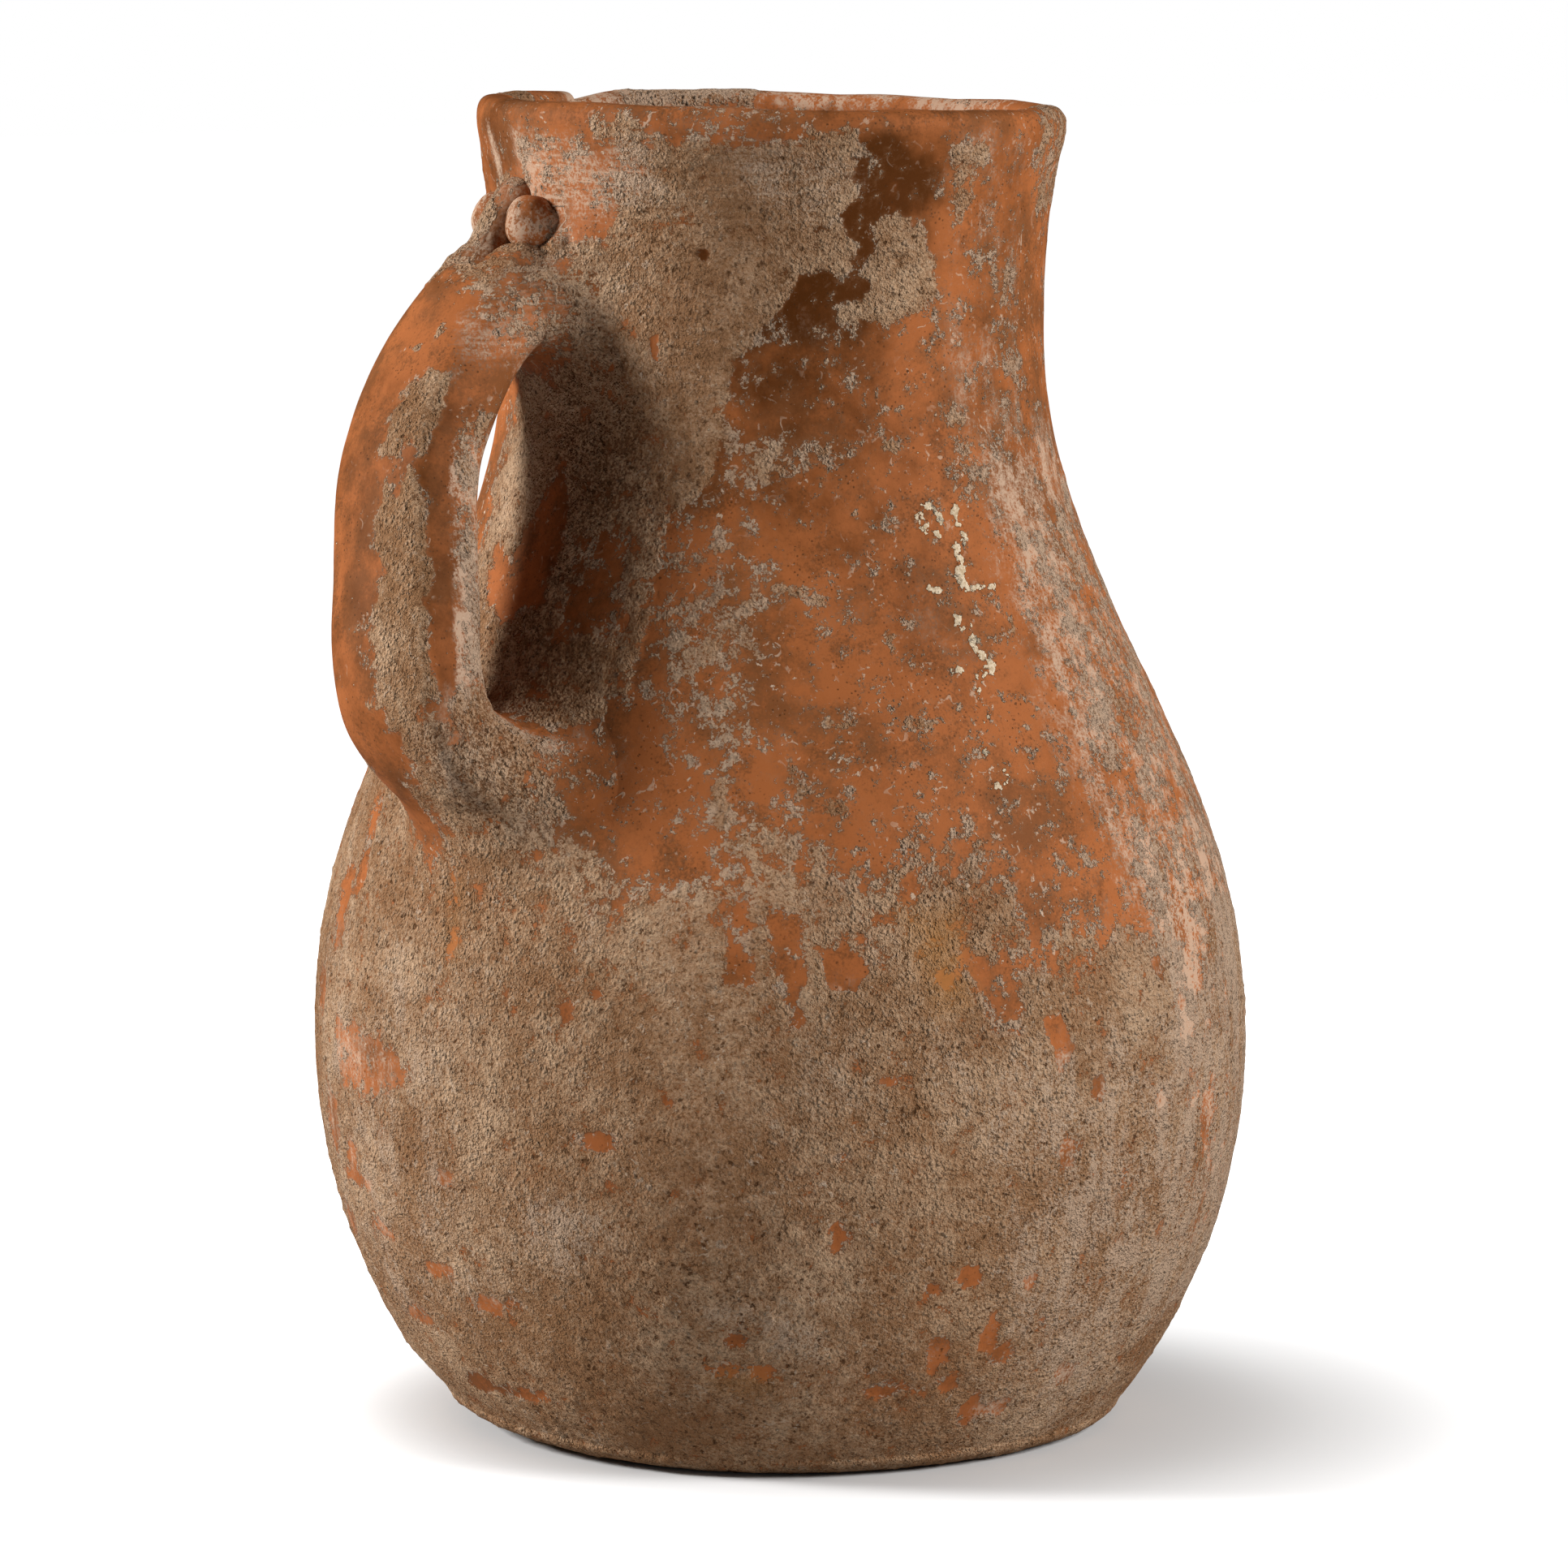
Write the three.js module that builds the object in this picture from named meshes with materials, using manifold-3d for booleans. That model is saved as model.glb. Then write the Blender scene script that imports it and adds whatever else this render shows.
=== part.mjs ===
// A hand-built terracotta jug with one loop handle, in millimetres, +Z up.
// The origin is the centre of the flat underside, and the handle reaches towards -X.
//
// The potter's pieces of clay are kept apart: a base disc, courses of coiled clay laid one on
// another up to a rim coil, a rolled handle, the luting that keys the handle's two ends to the
// wall, and the spur and two pellets that dress the handle's top. A film of slip lies between
// each piece and the one that it was pressed on to.

import * as THREE from "three";
import { mergeVertices } from "three/addons/utils/BufferGeometryUtils.js";
import Module from "manifold-3d";

// Vessel: outer radii, and heights above the underside
const FOOT_RADIUS = 63.5; // where the wall's curve would meet the ground
const FOOT_ROUND_WIDTH = 10; // the worn edge round the underside
const FOOT_ROUND_HEIGHT = 4;
const BASE_THICKNESS = 10;
const BELLY_RADIUS = 92;
const BELLY_HEIGHT = 76;
const NECK_RADIUS = 53; // the narrowest part of the neck
const NECK_DROP = 47; // from the top of the rim down to there
const SHOULDER_FULLNESS = 1.08; // above 1, the shoulder stays wide for longer
const RIM_OVERHANG = 4; // how far the rim stands out past the neck
const RIM_HEIGHT = 260;
const RIM_THICKNESS = 7;
const RIM_FLARE = 2.2; // power of the curve from neck to rim
const LIP_RISE = 4.5; // the round top of the rim
const WALL = 7;
const LEAN = 2.5; // how far the rim stands off the base's centre
const LEAN_BEARING = THREE.MathUtils.degToRad(141); // anticlockwise from +X

// Clay between the base disc and the rim coil, from the bottom up
const COURSE_NAMES = [
  "foot_course",
  "lower_belly_course",
  "upper_belly_course",
  "lower_shoulder_course",
  "upper_shoulder_course",
  "lower_neck_course",
  "upper_neck_course",
];
const RIM_COIL_HEIGHT = 28; // from the last course to the top of the rim
const SLIP_FILM = 0.3; // slip between two pieces of clay

// Handle: its section, and where its centre line runs
const HANDLE_WIDTH = 32;
const HANDLE_THICKNESS = 19;
const HANDLE_DROP = 38; // from the top of the rim down to the arm
const HANDLE_FOOT_RISE = 46; // from the belly's widest up to the lower end
const ARM_RUN = 8; // how far the arm goes level before it bends
const BEND_DROP = 24; // from the arm down to the top of the grip
const HEEL_RISE = 25; // from the lower end up to the bottom of the grip
const FINGER_GAP = 18; // between the grip and the wall
const HEEL_GAP = 10.5;
const HANDLE_SKEW = THREE.MathUtils.degToRad(18); // turn of its top end past its foot
const ROOT_DEPTH = 12; // how far the centre line runs on inside the wall

// Luting: the clay smeared round each end of the handle
const LUTING_REACH = 12; // along the handle, from the wall
const LUTING_SPREAD = 6; // out over the wall
const LUTING_EDGE = 1.3; // thickness where it feathers out on the handle

// Spur and pellets at the handle's top
const SPUR_WIDTH = 7;
const SPUR_DEPTH = 7;
const SPUR_SINK = 2.5; // its foot, down into the top of the arm
const SPUR_RISE = 13;
const SPUR_RUN = 11; // how far out along the arm it starts
const PELLET_DIAMETER = 10.4;
const PELLET_LIFT = 6.5; // centre, up from the top of the arm
const PELLET_STAND = 2.5; // centre, out from the wall
const PELLET_PRESS = 2.3; // how deep its side is pressed into the spur

// Fineness of the facets
const TURNS = 60; // facets round the vessel
const COURSE_STEPS = 3; // facets up each course
const LIP_STEPS = 6;
const FOOT_STEPS = 3;
const ROLL_SIDES = 20; // facets round a roll of clay
const ROLL_SQUARENESS = 0.8; // 1 is an oval section, less is squarer
const HANDLE_STEPS = 30;
const LUTING_STEPS = 8;
const SPUR_STEPS = 10;
const PELLET_SIDES = 14;
const SLOPE_STEP = 0.5; // height over which the wall's slope is measured
const WELD = 1e-3; // corners this close are one

// Heights that follow from the sizes above
const neckHeight = RIM_HEIGHT - NECK_DROP;
const lipHeight = RIM_HEIGHT - LIP_RISE; // where the rim is widest
const rimFoot = RIM_HEIGHT - RIM_COIL_HEIGHT;
const handleTop = RIM_HEIGHT - HANDLE_DROP;
const handleFoot = BELLY_HEIGHT + HANDLE_FOOT_RISE;
const gripTop = handleTop - BEND_DROP;
const heelHeight = handleFoot + HEEL_RISE;
const armTop = handleTop + HANDLE_THICKNESS / 2;

const wasm = await Module();
wasm.setup();

// A closed geometry as a solid that can be cut
function solidOf(geometry) {
  const bare = geometry.clone();
  bare.deleteAttribute("normal");
  bare.deleteAttribute("uv");
  const merged = mergeVertices(bare, WELD);
  return new wasm.Manifold(
    new wasm.Mesh({
      numProp: 3,
      vertProperties: merged.attributes.position.array,
      triVerts: new Uint32Array(merged.index.array),
    }),
  );
}

// A solid back as a geometry
function geometryOf(solid) {
  const { vertProperties, triVerts } = solid.getMesh();
  return new THREE.BufferGeometry()
    .setAttribute("position", new THREE.BufferAttribute(vertProperties, 3))
    .setIndex(new THREE.BufferAttribute(triVerts, 1))
    .toNonIndexed();
}

function cutBy(solid, cutters) {
  return cutters.reduce((left, cutter) => left.subtract(cutter), solid);
}

function evenSteps(from, to, steps) {
  return Array.from({ length: steps + 1 }, (_, i) => from + ((to - from) * i) / steps);
}

// Outer radius of the wall: an ellipse cut flat by the ground, an S-curve, then a flare
function outerRadius(height) {
  if (height <= BELLY_HEIGHT) {
    const footShare = FOOT_RADIUS / BELLY_RADIUS;
    const drop = BELLY_HEIGHT / Math.sqrt(1 - footShare ** 2);
    return BELLY_RADIUS * Math.sqrt(1 - ((BELLY_HEIGHT - height) / drop) ** 2);
  }
  if (height <= neckHeight) {
    const climb = (height - BELLY_HEIGHT) / (neckHeight - BELLY_HEIGHT);
    const fall = (1 - Math.cos(Math.PI * climb ** SHOULDER_FULLNESS)) / 2;
    return THREE.MathUtils.lerp(BELLY_RADIUS, NECK_RADIUS, fall);
  }
  const climb = (height - neckHeight) / (lipHeight - neckHeight);
  return NECK_RADIUS + RIM_OVERHANG * climb ** RIM_FLARE;
}

// Inner radius: the wall's thickness is measured square to its slope
function innerRadius(height) {
  const rise = outerRadius(height + SLOPE_STEP) - outerRadius(height - SLOPE_STEP);
  const slope = rise / (2 * SLOPE_STEP);
  return outerRadius(height) - WALL * Math.sqrt(1 + slope ** 2);
}

// An outline of [radius, height] points turned about the vessel's axis
function turned(outline) {
  const points = outline.map(([radius, height]) => new THREE.Vector2(radius, height));
  return new THREE.LatheGeometry(points, TURNS).rotateX(Math.PI / 2);
}

// The slab the jug stands on, flat below and above, with a worn round edge
function baseDisc() {
  const edge = evenSteps(0, Math.PI / 2, FOOT_STEPS).map((angle) => [
    outerRadius(FOOT_ROUND_HEIGHT) - FOOT_ROUND_WIDTH * (1 - Math.sin(angle)),
    FOOT_ROUND_HEIGHT * (1 - Math.cos(angle)),
  ]);
  const top = BASE_THICKNESS;
  return turned([[0, 0], ...edge, [outerRadius(top), top], [0, top]]);
}

// One ring of the wall, level above and below
function course(low, high) {
  const heights = evenSteps(low, high, COURSE_STEPS);
  const outside = heights.map((height) => [outerRadius(height), height]);
  const inside = heights.map((height) => [innerRadius(height), height]).reverse();
  return turned([...outside, ...inside, outside[0]]);
}

// The last ring, with its round lip
function rimCoil(low) {
  const heights = evenSteps(low, lipHeight, COURSE_STEPS);
  const outside = heights.map((height) => [outerRadius(height), height]);
  const middle = NECK_RADIUS + RIM_OVERHANG - RIM_THICKNESS / 2;
  const lip = evenSteps(0, Math.PI, LIP_STEPS).map((angle) => [
    middle + (RIM_THICKNESS / 2) * Math.cos(angle),
    lipHeight + LIP_RISE * Math.sin(angle),
  ]);
  const inside = heights.slice(0, -1).map((height) => [innerRadius(height), height]);
  return turned([...outside, ...lip.slice(1), ...inside.reverse(), outside[0]]);
}

// The outside of the vessel as one solid, grown by a film, for fitting pieces to the wall
function vesselSolid(grow) {
  const heights = [
    0,
    ...evenSteps(BASE_THICKNESS, rimFoot, COURSE_NAMES.length * COURSE_STEPS),
    ...evenSteps(rimFoot, lipHeight, COURSE_STEPS).slice(1),
  ];
  const outside = heights.map((height) => [outerRadius(height) + grow, height]);
  return solidOf(turned([[0, 0], ...outside, [0, RIM_HEIGHT + grow]]));
}

// A point out from the axis and up, on the handle's bearing there or to the right of it
function besideHandle(radius, height, right = 0) {
  const share = (height - handleFoot) / (handleTop - handleFoot);
  const bearing = Math.PI - HANDLE_SKEW * (share - 0.5) + right / radius;
  return new THREE.Vector3(radius * Math.cos(bearing), radius * Math.sin(bearing), height);
}

function handlePath() {
  const clear = (height, gap) =>
    besideHandle(outerRadius(height) + gap + HANDLE_THICKNESS / 2, height);
  return new THREE.CatmullRomCurve3([
    besideHandle(outerRadius(handleTop) - ROOT_DEPTH, handleTop),
    besideHandle(outerRadius(handleTop) + ARM_RUN, handleTop),
    clear(gripTop, FINGER_GAP),
    clear((gripTop + heelHeight) / 2, FINGER_GAP),
    clear(heelHeight, HEEL_GAP),
    besideHandle(outerRadius(handleFoot) - ROOT_DEPTH, handleFoot),
  ]);
}

// A roll of clay along a path. Its section is a soft rectangle, width round the vessel and
// depth across it, grown by growAt(distance from the path's start, outer share), where the
// outer share is 1 on the side away from the vessel and 0 on the side towards it.
function roll({ path, width, depth, from = 0, to = 1, steps, growAt }) {
  const length = path.getLength();
  const corner = (value) => Math.sign(value) * Math.abs(value) ** ROLL_SQUARENESS;
  const rings = evenSteps(from, to, steps).map((share) => {
    const centre = path.getPointAt(share);
    const along = path.getTangentAt(share);
    const side = new THREE.Vector3(-centre.y, centre.x, 0);
    side.addScaledVector(along, -side.dot(along)).normalize();
    const inward = new THREE.Vector3().crossVectors(side, along);
    return evenSteps(0, 2 * Math.PI, ROLL_SIDES)
      .slice(0, -1)
      .map((angle) => {
        const grow = growAt(share * length, (1 - Math.sin(angle)) / 2);
        return centre
          .clone()
          .addScaledVector(side, corner(Math.cos(angle)) * (width / 2 + grow))
          .addScaledVector(inward, corner(Math.sin(angle)) * (depth / 2 + grow));
      });
  });
  return loft(rings);
}

// Rings of points joined into a closed skin, with a fan over each end
function loft(rings) {
  const count = rings[0].length;
  const centreOf = (ring) =>
    ring.reduce((sum, point) => sum.add(point), new THREE.Vector3()).divideScalar(count);
  const ends = [centreOf(rings[0]), centreOf(rings[rings.length - 1])];
  const points = [...rings.flat(), ...ends];
  const [firstEnd, lastEnd] = [points.length - 2, points.length - 1];
  const lastRing = (rings.length - 1) * count;
  const faces = [];
  for (let i = 0; i < count; i += 1) {
    const next = (i + 1) % count;
    for (let ring = 0; ring < lastRing; ring += count) {
      const [a, b] = [ring + i, ring + next];
      faces.push(a, a + count, b, b, a + count, b + count);
    }
    faces.push(firstEnd, i, next, lastEnd, lastRing + next, lastRing + i);
  }
  return new THREE.BufferGeometry().setFromPoints(points).setIndex(faces);
}

const path = handlePath();
const pathLength = path.getLength();
const handleSection = { path, width: HANDLE_WIDTH, depth: HANDLE_THICKNESS };

function handleSolid(grow) {
  return solidOf(roll({ ...handleSection, steps: HANDLE_STEPS, growAt: () => grow }));
}

// A collar that is thin on the handle and spreads towards the wall. At the top end the clay
// was smeared to the sides and under the arm, and little was left on top of it.
function lutingSolid(atTop, grow) {
  const growAt = (distance, outerSide) => {
    const fromRoot = atTop ? distance : pathLength - distance;
    const share = THREE.MathUtils.clamp((fromRoot - ROOT_DEPTH) / LUTING_REACH, 0, 1);
    const smear = LUTING_SPREAD * (1 - share) ** 2 * (atTop ? (1 - outerSide) ** 2 : 1);
    return LUTING_EDGE + smear + grow;
  };
  const span = (ROOT_DEPTH + LUTING_REACH + grow) / pathLength;
  const [from, to] = atTop ? [0, span] : [1 - span, 1];
  return solidOf(roll({ ...handleSection, from, to, steps: LUTING_STEPS, growAt }));
}

// A short rib from the top of the arm up on to the neck
function spurSolid(grow) {
  const foot = armTop - SPUR_SINK;
  const top = foot + SPUR_RISE;
  const rib = new THREE.CatmullRomCurve3([
    besideHandle(outerRadius(foot) + SPUR_RUN, foot),
    besideHandle(outerRadius(top) + SPUR_RUN / 2, (foot + top) / 2),
    besideHandle(outerRadius(top), top),
    besideHandle(outerRadius(top) - SPUR_DEPTH, top),
  ]);
  const section = { path: rib, width: SPUR_WIDTH, depth: SPUR_DEPTH };
  return solidOf(roll({ ...section, steps: SPUR_STEPS, growAt: () => grow }));
}

// A ball of clay pressed into the corner of arm, neck and spur
function pelletSolid(side) {
  const ball = new THREE.SphereGeometry(PELLET_DIAMETER / 2, PELLET_SIDES, PELLET_SIDES / 2);
  const height = armTop + PELLET_LIFT;
  const offset = (SPUR_WIDTH + PELLET_DIAMETER) / 2 - PELLET_PRESS;
  const centre = besideHandle(outerRadius(height) + PELLET_STAND, height, side * offset);
  return solidOf(ball.translate(centre.x, centre.y, centre.z));
}

// Fired clay, and the same clay under the pale crust of the ground it lay in
const clay = { color: 0xa8623a, roughness: 0.85, metalness: 0 };
const crusted = { color: 0x9c7a5c, roughness: 0.95, metalness: 0 };

const jug = new THREE.Group();

function add(name, geometry, finish) {
  const mesh = new THREE.Mesh(geometry, new THREE.MeshStandardMaterial(finish));
  mesh.name = name;
  jug.add(mesh);
}

const seams = evenSteps(BASE_THICKNESS, rimFoot, COURSE_NAMES.length);
add("base_disc", baseDisc(), crusted);
COURSE_NAMES.forEach((name, i) => {
  add(name, course(seams[i] + SLIP_FILM, seams[i + 1]), crusted);
});
add("rim_coil", rimCoil(rimFoot + SLIP_FILM), clay);

// Each piece is fitted to those that it was pressed on to
const vessel = vesselSolid(SLIP_FILM);
const handle = handleSolid(SLIP_FILM);
const upperLuting = lutingSolid(true, SLIP_FILM);
const spur = spurSolid(SLIP_FILM);
add("handle_roll", geometryOf(cutBy(handleSolid(0), [vessel])), clay);
add("upper_luting", geometryOf(cutBy(lutingSolid(true, 0), [vessel, handle])), clay);
add("lower_luting", geometryOf(cutBy(lutingSolid(false, 0), [vessel, handle])), crusted);
add("handle_spur", geometryOf(cutBy(spurSolid(0), [vessel, handle, upperLuting])), clay);
for (const [name, side] of Object.entries({ left_pellet: -1, right_pellet: 1 })) {
  const fitted = cutBy(pelletSolid(side), [vessel, handle, upperLuting, spur]);
  add(name, geometryOf(fitted), clay);
}

// The jug was built leaning a little, so each height is set over from the base
const leanAcross = (LEAN * Math.cos(LEAN_BEARING)) / RIM_HEIGHT;
const leanAlong = (LEAN * Math.sin(LEAN_BEARING)) / RIM_HEIGHT;
jug.matrixAutoUpdate = false;
jug.matrix.makeShear(0, 0, 0, 0, leanAcross, leanAlong);

export default jug;
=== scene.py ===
"""The looks of a hand-built terracotta jug with one loop handle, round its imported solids.

Sizes are in millimetres with +Z up, and a mesh goes to Blender in metres. A place on the wall
is a turn, in degrees to the right of the side that faces the camera, and a height above the
ground. A place on the handle is an angle round its roll and a distance along its centre line.
"""

import logging
import math
from collections.abc import Callable, Sequence
from dataclasses import dataclass, field
from enum import Enum
from functools import partial
from itertools import product
from typing import Union

import bpy
import numpy as np
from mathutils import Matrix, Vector


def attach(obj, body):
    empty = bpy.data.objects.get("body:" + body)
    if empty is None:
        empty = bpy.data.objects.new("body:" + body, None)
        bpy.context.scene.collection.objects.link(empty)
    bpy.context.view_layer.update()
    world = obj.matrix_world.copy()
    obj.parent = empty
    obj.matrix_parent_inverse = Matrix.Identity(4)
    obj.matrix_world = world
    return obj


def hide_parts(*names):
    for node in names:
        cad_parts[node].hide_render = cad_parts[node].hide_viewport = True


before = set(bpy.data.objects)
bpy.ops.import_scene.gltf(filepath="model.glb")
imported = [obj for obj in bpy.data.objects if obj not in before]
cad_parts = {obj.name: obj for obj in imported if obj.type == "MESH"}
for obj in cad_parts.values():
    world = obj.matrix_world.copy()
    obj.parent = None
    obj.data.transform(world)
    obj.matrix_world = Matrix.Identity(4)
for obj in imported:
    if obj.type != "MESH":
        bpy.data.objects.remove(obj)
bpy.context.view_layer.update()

Array = np.ndarray
Colour = tuple[float, float, float]
Point = tuple[float, float]
Box = tuple[float, float, float, float]  # least and greatest across, least and greatest up
Oval = tuple[float, float, float, float]  # turn, height, half-width and half-height
Mound = tuple[float, float, float, float]  # turn or angle, height or distance, rise and reach

log = logging.getLogger("jug")

MM = 0.001
FRONT_BEARING = 231.0  # of the side that faces the camera, anticlockwise from +X
TURN_COUNT = 960
FINE_STEP = 0.6  # between points of a surface that shows
PLAIN_STEP = 1.9  # between points of the inside and the underside


class Layer(Enum):
    """What lies on the clay, and painted shade, each kept as a number at every point of a mesh."""

    CRUST = "crust"
    DARK = "dark"
    HAZE = "haze"
    LIME = "lime"
    OCHRE = "ochre"
    WIPED = "wiped"
    # painted shade: the crust is darker in its pits and low spots, and in listed patches where shadow falls
    PAINTED_SHADE = "hollow"


class Side(Enum):
    """The parts of the vessel that weathered in different ways."""

    OUTSIDE = "outside"
    INSIDE = "inside"
    UNDERSIDE = "underside"


class Slot(Enum):
    """The record's two finishes."""

    BARE = "terracotta"
    CRUSTED = "crusted_terracotta"


Layers = dict[Layer, Array]


def ease(low: float, high: float, value: Array) -> Array:
    """0 at low, 1 at high and an S-curve between them."""
    share = np.clip((value - low) / (high - low), 0.0, 1.0)
    return share * share * (3.0 - 2.0 * share)


def bell(value: Array, centre: float, width: float) -> Array:
    """1 at the centre, falling off as a bell of that half-width."""
    return np.exp(-(((value - centre) / width) ** 2))


def full_turn(count: int) -> Array:
    """Even angles all the way round, in degrees from -180."""
    return np.linspace(-180.0, 180.0, count, endpoint=False)


def signed_power(value: Array, power: float) -> Array:
    """A value raised to a power, with its sign kept."""
    return np.sign(value) * np.abs(value) ** power


HASH_PRIMES = np.array([73856093, 19349663, 83492791], np.uint32)
SEED_PRIME = 2654435761
MIX_PRIME = np.uint32(0x85EBCA6B)
NOISE_GAIN = 1.7  # brings the noise to about -1 to 1


def lattice_noise(places: Array, size: float, seed: int) -> Array:
    """Smooth noise in space, the same at each run.

    Every corner of a lattice of cubes has a slope, taken from a hash of its whole-number place.
    A point adds up the heights that the slopes of its cube's eight corners give it, each weighed
    by a fifth-degree ease towards that corner.

    Args:
        places: points, with x, y and z on the last axis.
        size: side of a cube.
        seed: picks one field of noise.

    Returns:
        About -1 to 1 for each point.
    """
    scaled = (places.reshape(-1, 3) / size).astype(np.float32)
    cell = np.floor(scaled)
    inside = scaled - cell
    whole = cell.astype(np.int32)
    weight = inside**3 * (inside * (inside * 6.0 - 15.0) + 10.0)
    salt = np.uint32(seed * SEED_PRIME % 2**32)
    total = np.zeros(len(scaled), np.float32)
    for corner in product((0, 1), repeat=3):
        step = np.array(corner, np.int32)
        mixed = (whole + step).astype(np.uint32) * HASH_PRIMES
        code = mixed[:, 0] ^ mixed[:, 1] ^ mixed[:, 2] ^ salt
        code = (code ^ (code >> np.uint32(15))) * MIX_PRIME
        code ^= code >> np.uint32(13)
        away = inside - step
        height = sum(
            ((code >> np.uint32(8 * axis)) & np.uint32(255)).astype(np.float32) * away[:, axis]
            for axis in range(3)
        )
        height = height / 127.5 - away.sum(1)
        total += height * np.where(step, weight, 1.0 - weight).prod(1)
    return (NOISE_GAIN * total).reshape(places.shape[:-1])


@dataclass(frozen=True)
class Noise:
    """A field of noise, by the size of its largest waves, its octaves and its seed."""

    size: float
    octaves: int
    seed: int

    def at(self, places: Array) -> Array:
        """About -1 to 1 at each point: lattice noise, finer and weaker with each further octave."""
        parts = [lattice_noise(places, self.size / 2**i, self.seed + i) / 2**i for i in range(self.octaves)]
        return sum(parts) / math.sqrt(sum(0.25**i for i in range(self.octaves)))


@dataclass(frozen=True)
class Patch:
    """A patch with corners, each a turn or angle and a height or distance."""

    layer: Layer
    level: float
    soft: float
    corners: tuple[Point, ...]

    def middle(self) -> float:
        """The mean height of the corners."""
        return sum(up for _, up in self.corners) / len(self.corners)

    def box(self, wide: float) -> Box:
        """Least and greatest place across, in millimetres, and up, with room for the edge.

        Args:
            wide: millimetres in a degree.

        Returns:
            The box round the mark and its soft edge, in millimetres.
        """
        across = [turn * wide for turn, _ in self.corners]
        up = [height for _, height in self.corners]
        soft = self.soft
        return min(across) - soft, max(across) + soft, min(up) - soft, max(up) + soft

    def depth(self, across: Array, up: Array, wide: float) -> Array:
        """How far inside the outline each point lies, negative outside it.

        The distance is the least one to any side. A point is inside if a ray from it crosses the
        outline an odd number of times.

        Args:
            across: places across, in millimetres.
            up: places up.
            wide: millimetres in a degree.

        Returns:
            The depth of each point.
        """
        nearest = np.full(across.shape, np.inf)
        inside = np.zeros(across.shape, bool)
        ring = [(turn * wide, height) for turn, height in self.corners]
        for (ax, ay), (bx, by) in zip(ring, ring[1:] + ring[:1]):
            run, rise = bx - ax, by - ay
            share = ((across - ax) * run + (up - ay) * rise) / (run * run + rise * rise)
            share = np.clip(share, 0.0, 1.0)
            gap = np.hypot(across - ax - share * run, up - ay - share * rise)
            nearest = np.minimum(nearest, gap)
            if rise:
                crosses = (ay > up) != (by > up)
                inside ^= crosses & (across < ax + (up - ay) * run / rise)
        return np.where(inside, nearest, -nearest)


@dataclass(frozen=True)
class Spot:
    """An oval spot, with its half-width and half-height in millimetres."""

    layer: Layer
    level: float
    soft: float
    turn: float
    up: float
    half_width: float
    half_height: float

    def middle(self) -> float:
        """The height of the spot's centre."""
        return self.up

    def box(self, wide: float) -> Box:
        """Least and greatest place across, in millimetres, and up, with room for the edge.

        Args:
            wide: millimetres in a degree.

        Returns:
            The box round the mark and its soft edge, in millimetres.
        """
        across = self.turn * wide
        reach_x, reach_y = self.half_width + self.soft, self.half_height + self.soft
        return across - reach_x, across + reach_x, self.up - reach_y, self.up + reach_y

    def depth(self, across: Array, up: Array, wide: float) -> Array:
        """How far inside the oval each point lies, about, from its scaled radius.

        Args:
            across: places across, in millimetres.
            up: places up.
            wide: millimetres in a degree.

        Returns:
            The depth of each point, negative outside.
        """
        x = (across - self.turn * wide) / self.half_width
        y = (up - self.up) / self.half_height
        return (1.0 - np.hypot(x, y)) * min(self.half_width, self.half_height)


Mark = Patch | Spot
Scale = Callable[[float], float]  # millimetres in a degree, by height or distance

MOUND_GRAIN = Noise(3.0, 2, 113)
JAG = 1.0  # how far a mark's outline strays
JAG_ACROSS = Noise(3.0, 2, 131)
JAG_UP = Noise(3.0, 2, 137)


def patch(layer: Layer, level: float, soft: float, *corners: Point) -> Patch:
    """A patch from its corners."""
    return Patch(layer, level, soft, corners)


def spots(layer: Layer, level: float, soft: float, *ovals: Oval) -> list[Spot]:
    """Spots of one layer, each a turn, a height, a half-width and a half-height."""
    return [Spot(layer, level, soft, *oval) for oval in ovals]


def paint(
    levels: Layers, marks: Sequence[Mark], places: Array, across: Array, up: Array, wide_at: Scale
) -> None:
    """Lays marks over levels one after another, each drawing its layer towards its own level.

    Every point is first moved a little by a noise, so that the marks' outlines are ragged.

    Args:
        levels: the layers, which are changed.
        marks: the marks, from the first laid to the last.
        places: the points in space.
        across: places across, in degrees.
        up: places up.
        wide_at: millimetres in a degree at a height.
    """
    sway = JAG * JAG_ACROSS.at(places)
    up = up + JAG * JAG_UP.at(places)
    room = 2.0 * JAG
    for mark in marks:
        wide = wide_at(mark.middle())
        left, right, low, high = mark.box(wide)
        near = (across > (left - room) / wide) & (across < (right + room) / wide)
        near &= (up > low) & (up < high)
        depth = mark.depth(across[near] * wide + sway[near], up[near], wide)
        weight = ease(-mark.soft, mark.soft, depth)
        layer = levels[mark.layer]
        layer[near] += weight * (mark.level - layer[near])


def clay_on(mounds: Sequence[Mound], across: Array, up: Array, wide_at: Scale) -> Array:
    """Height of the clay pressed round the handle's dressing: the highest of some bells.

    Args:
        mounds: the bells.
        across: places across, in degrees.
        up: places up.
        wide_at: millimetres in a degree at a height.

    Returns:
        The height at each place.
    """
    total = 0.0 * across
    for turn, height, rise, reach in mounds:
        away = np.hypot((across - turn) * wide_at(height), up - height)
        total = np.maximum(total, rise * bell(away, 0.0, reach))
    return total


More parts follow.
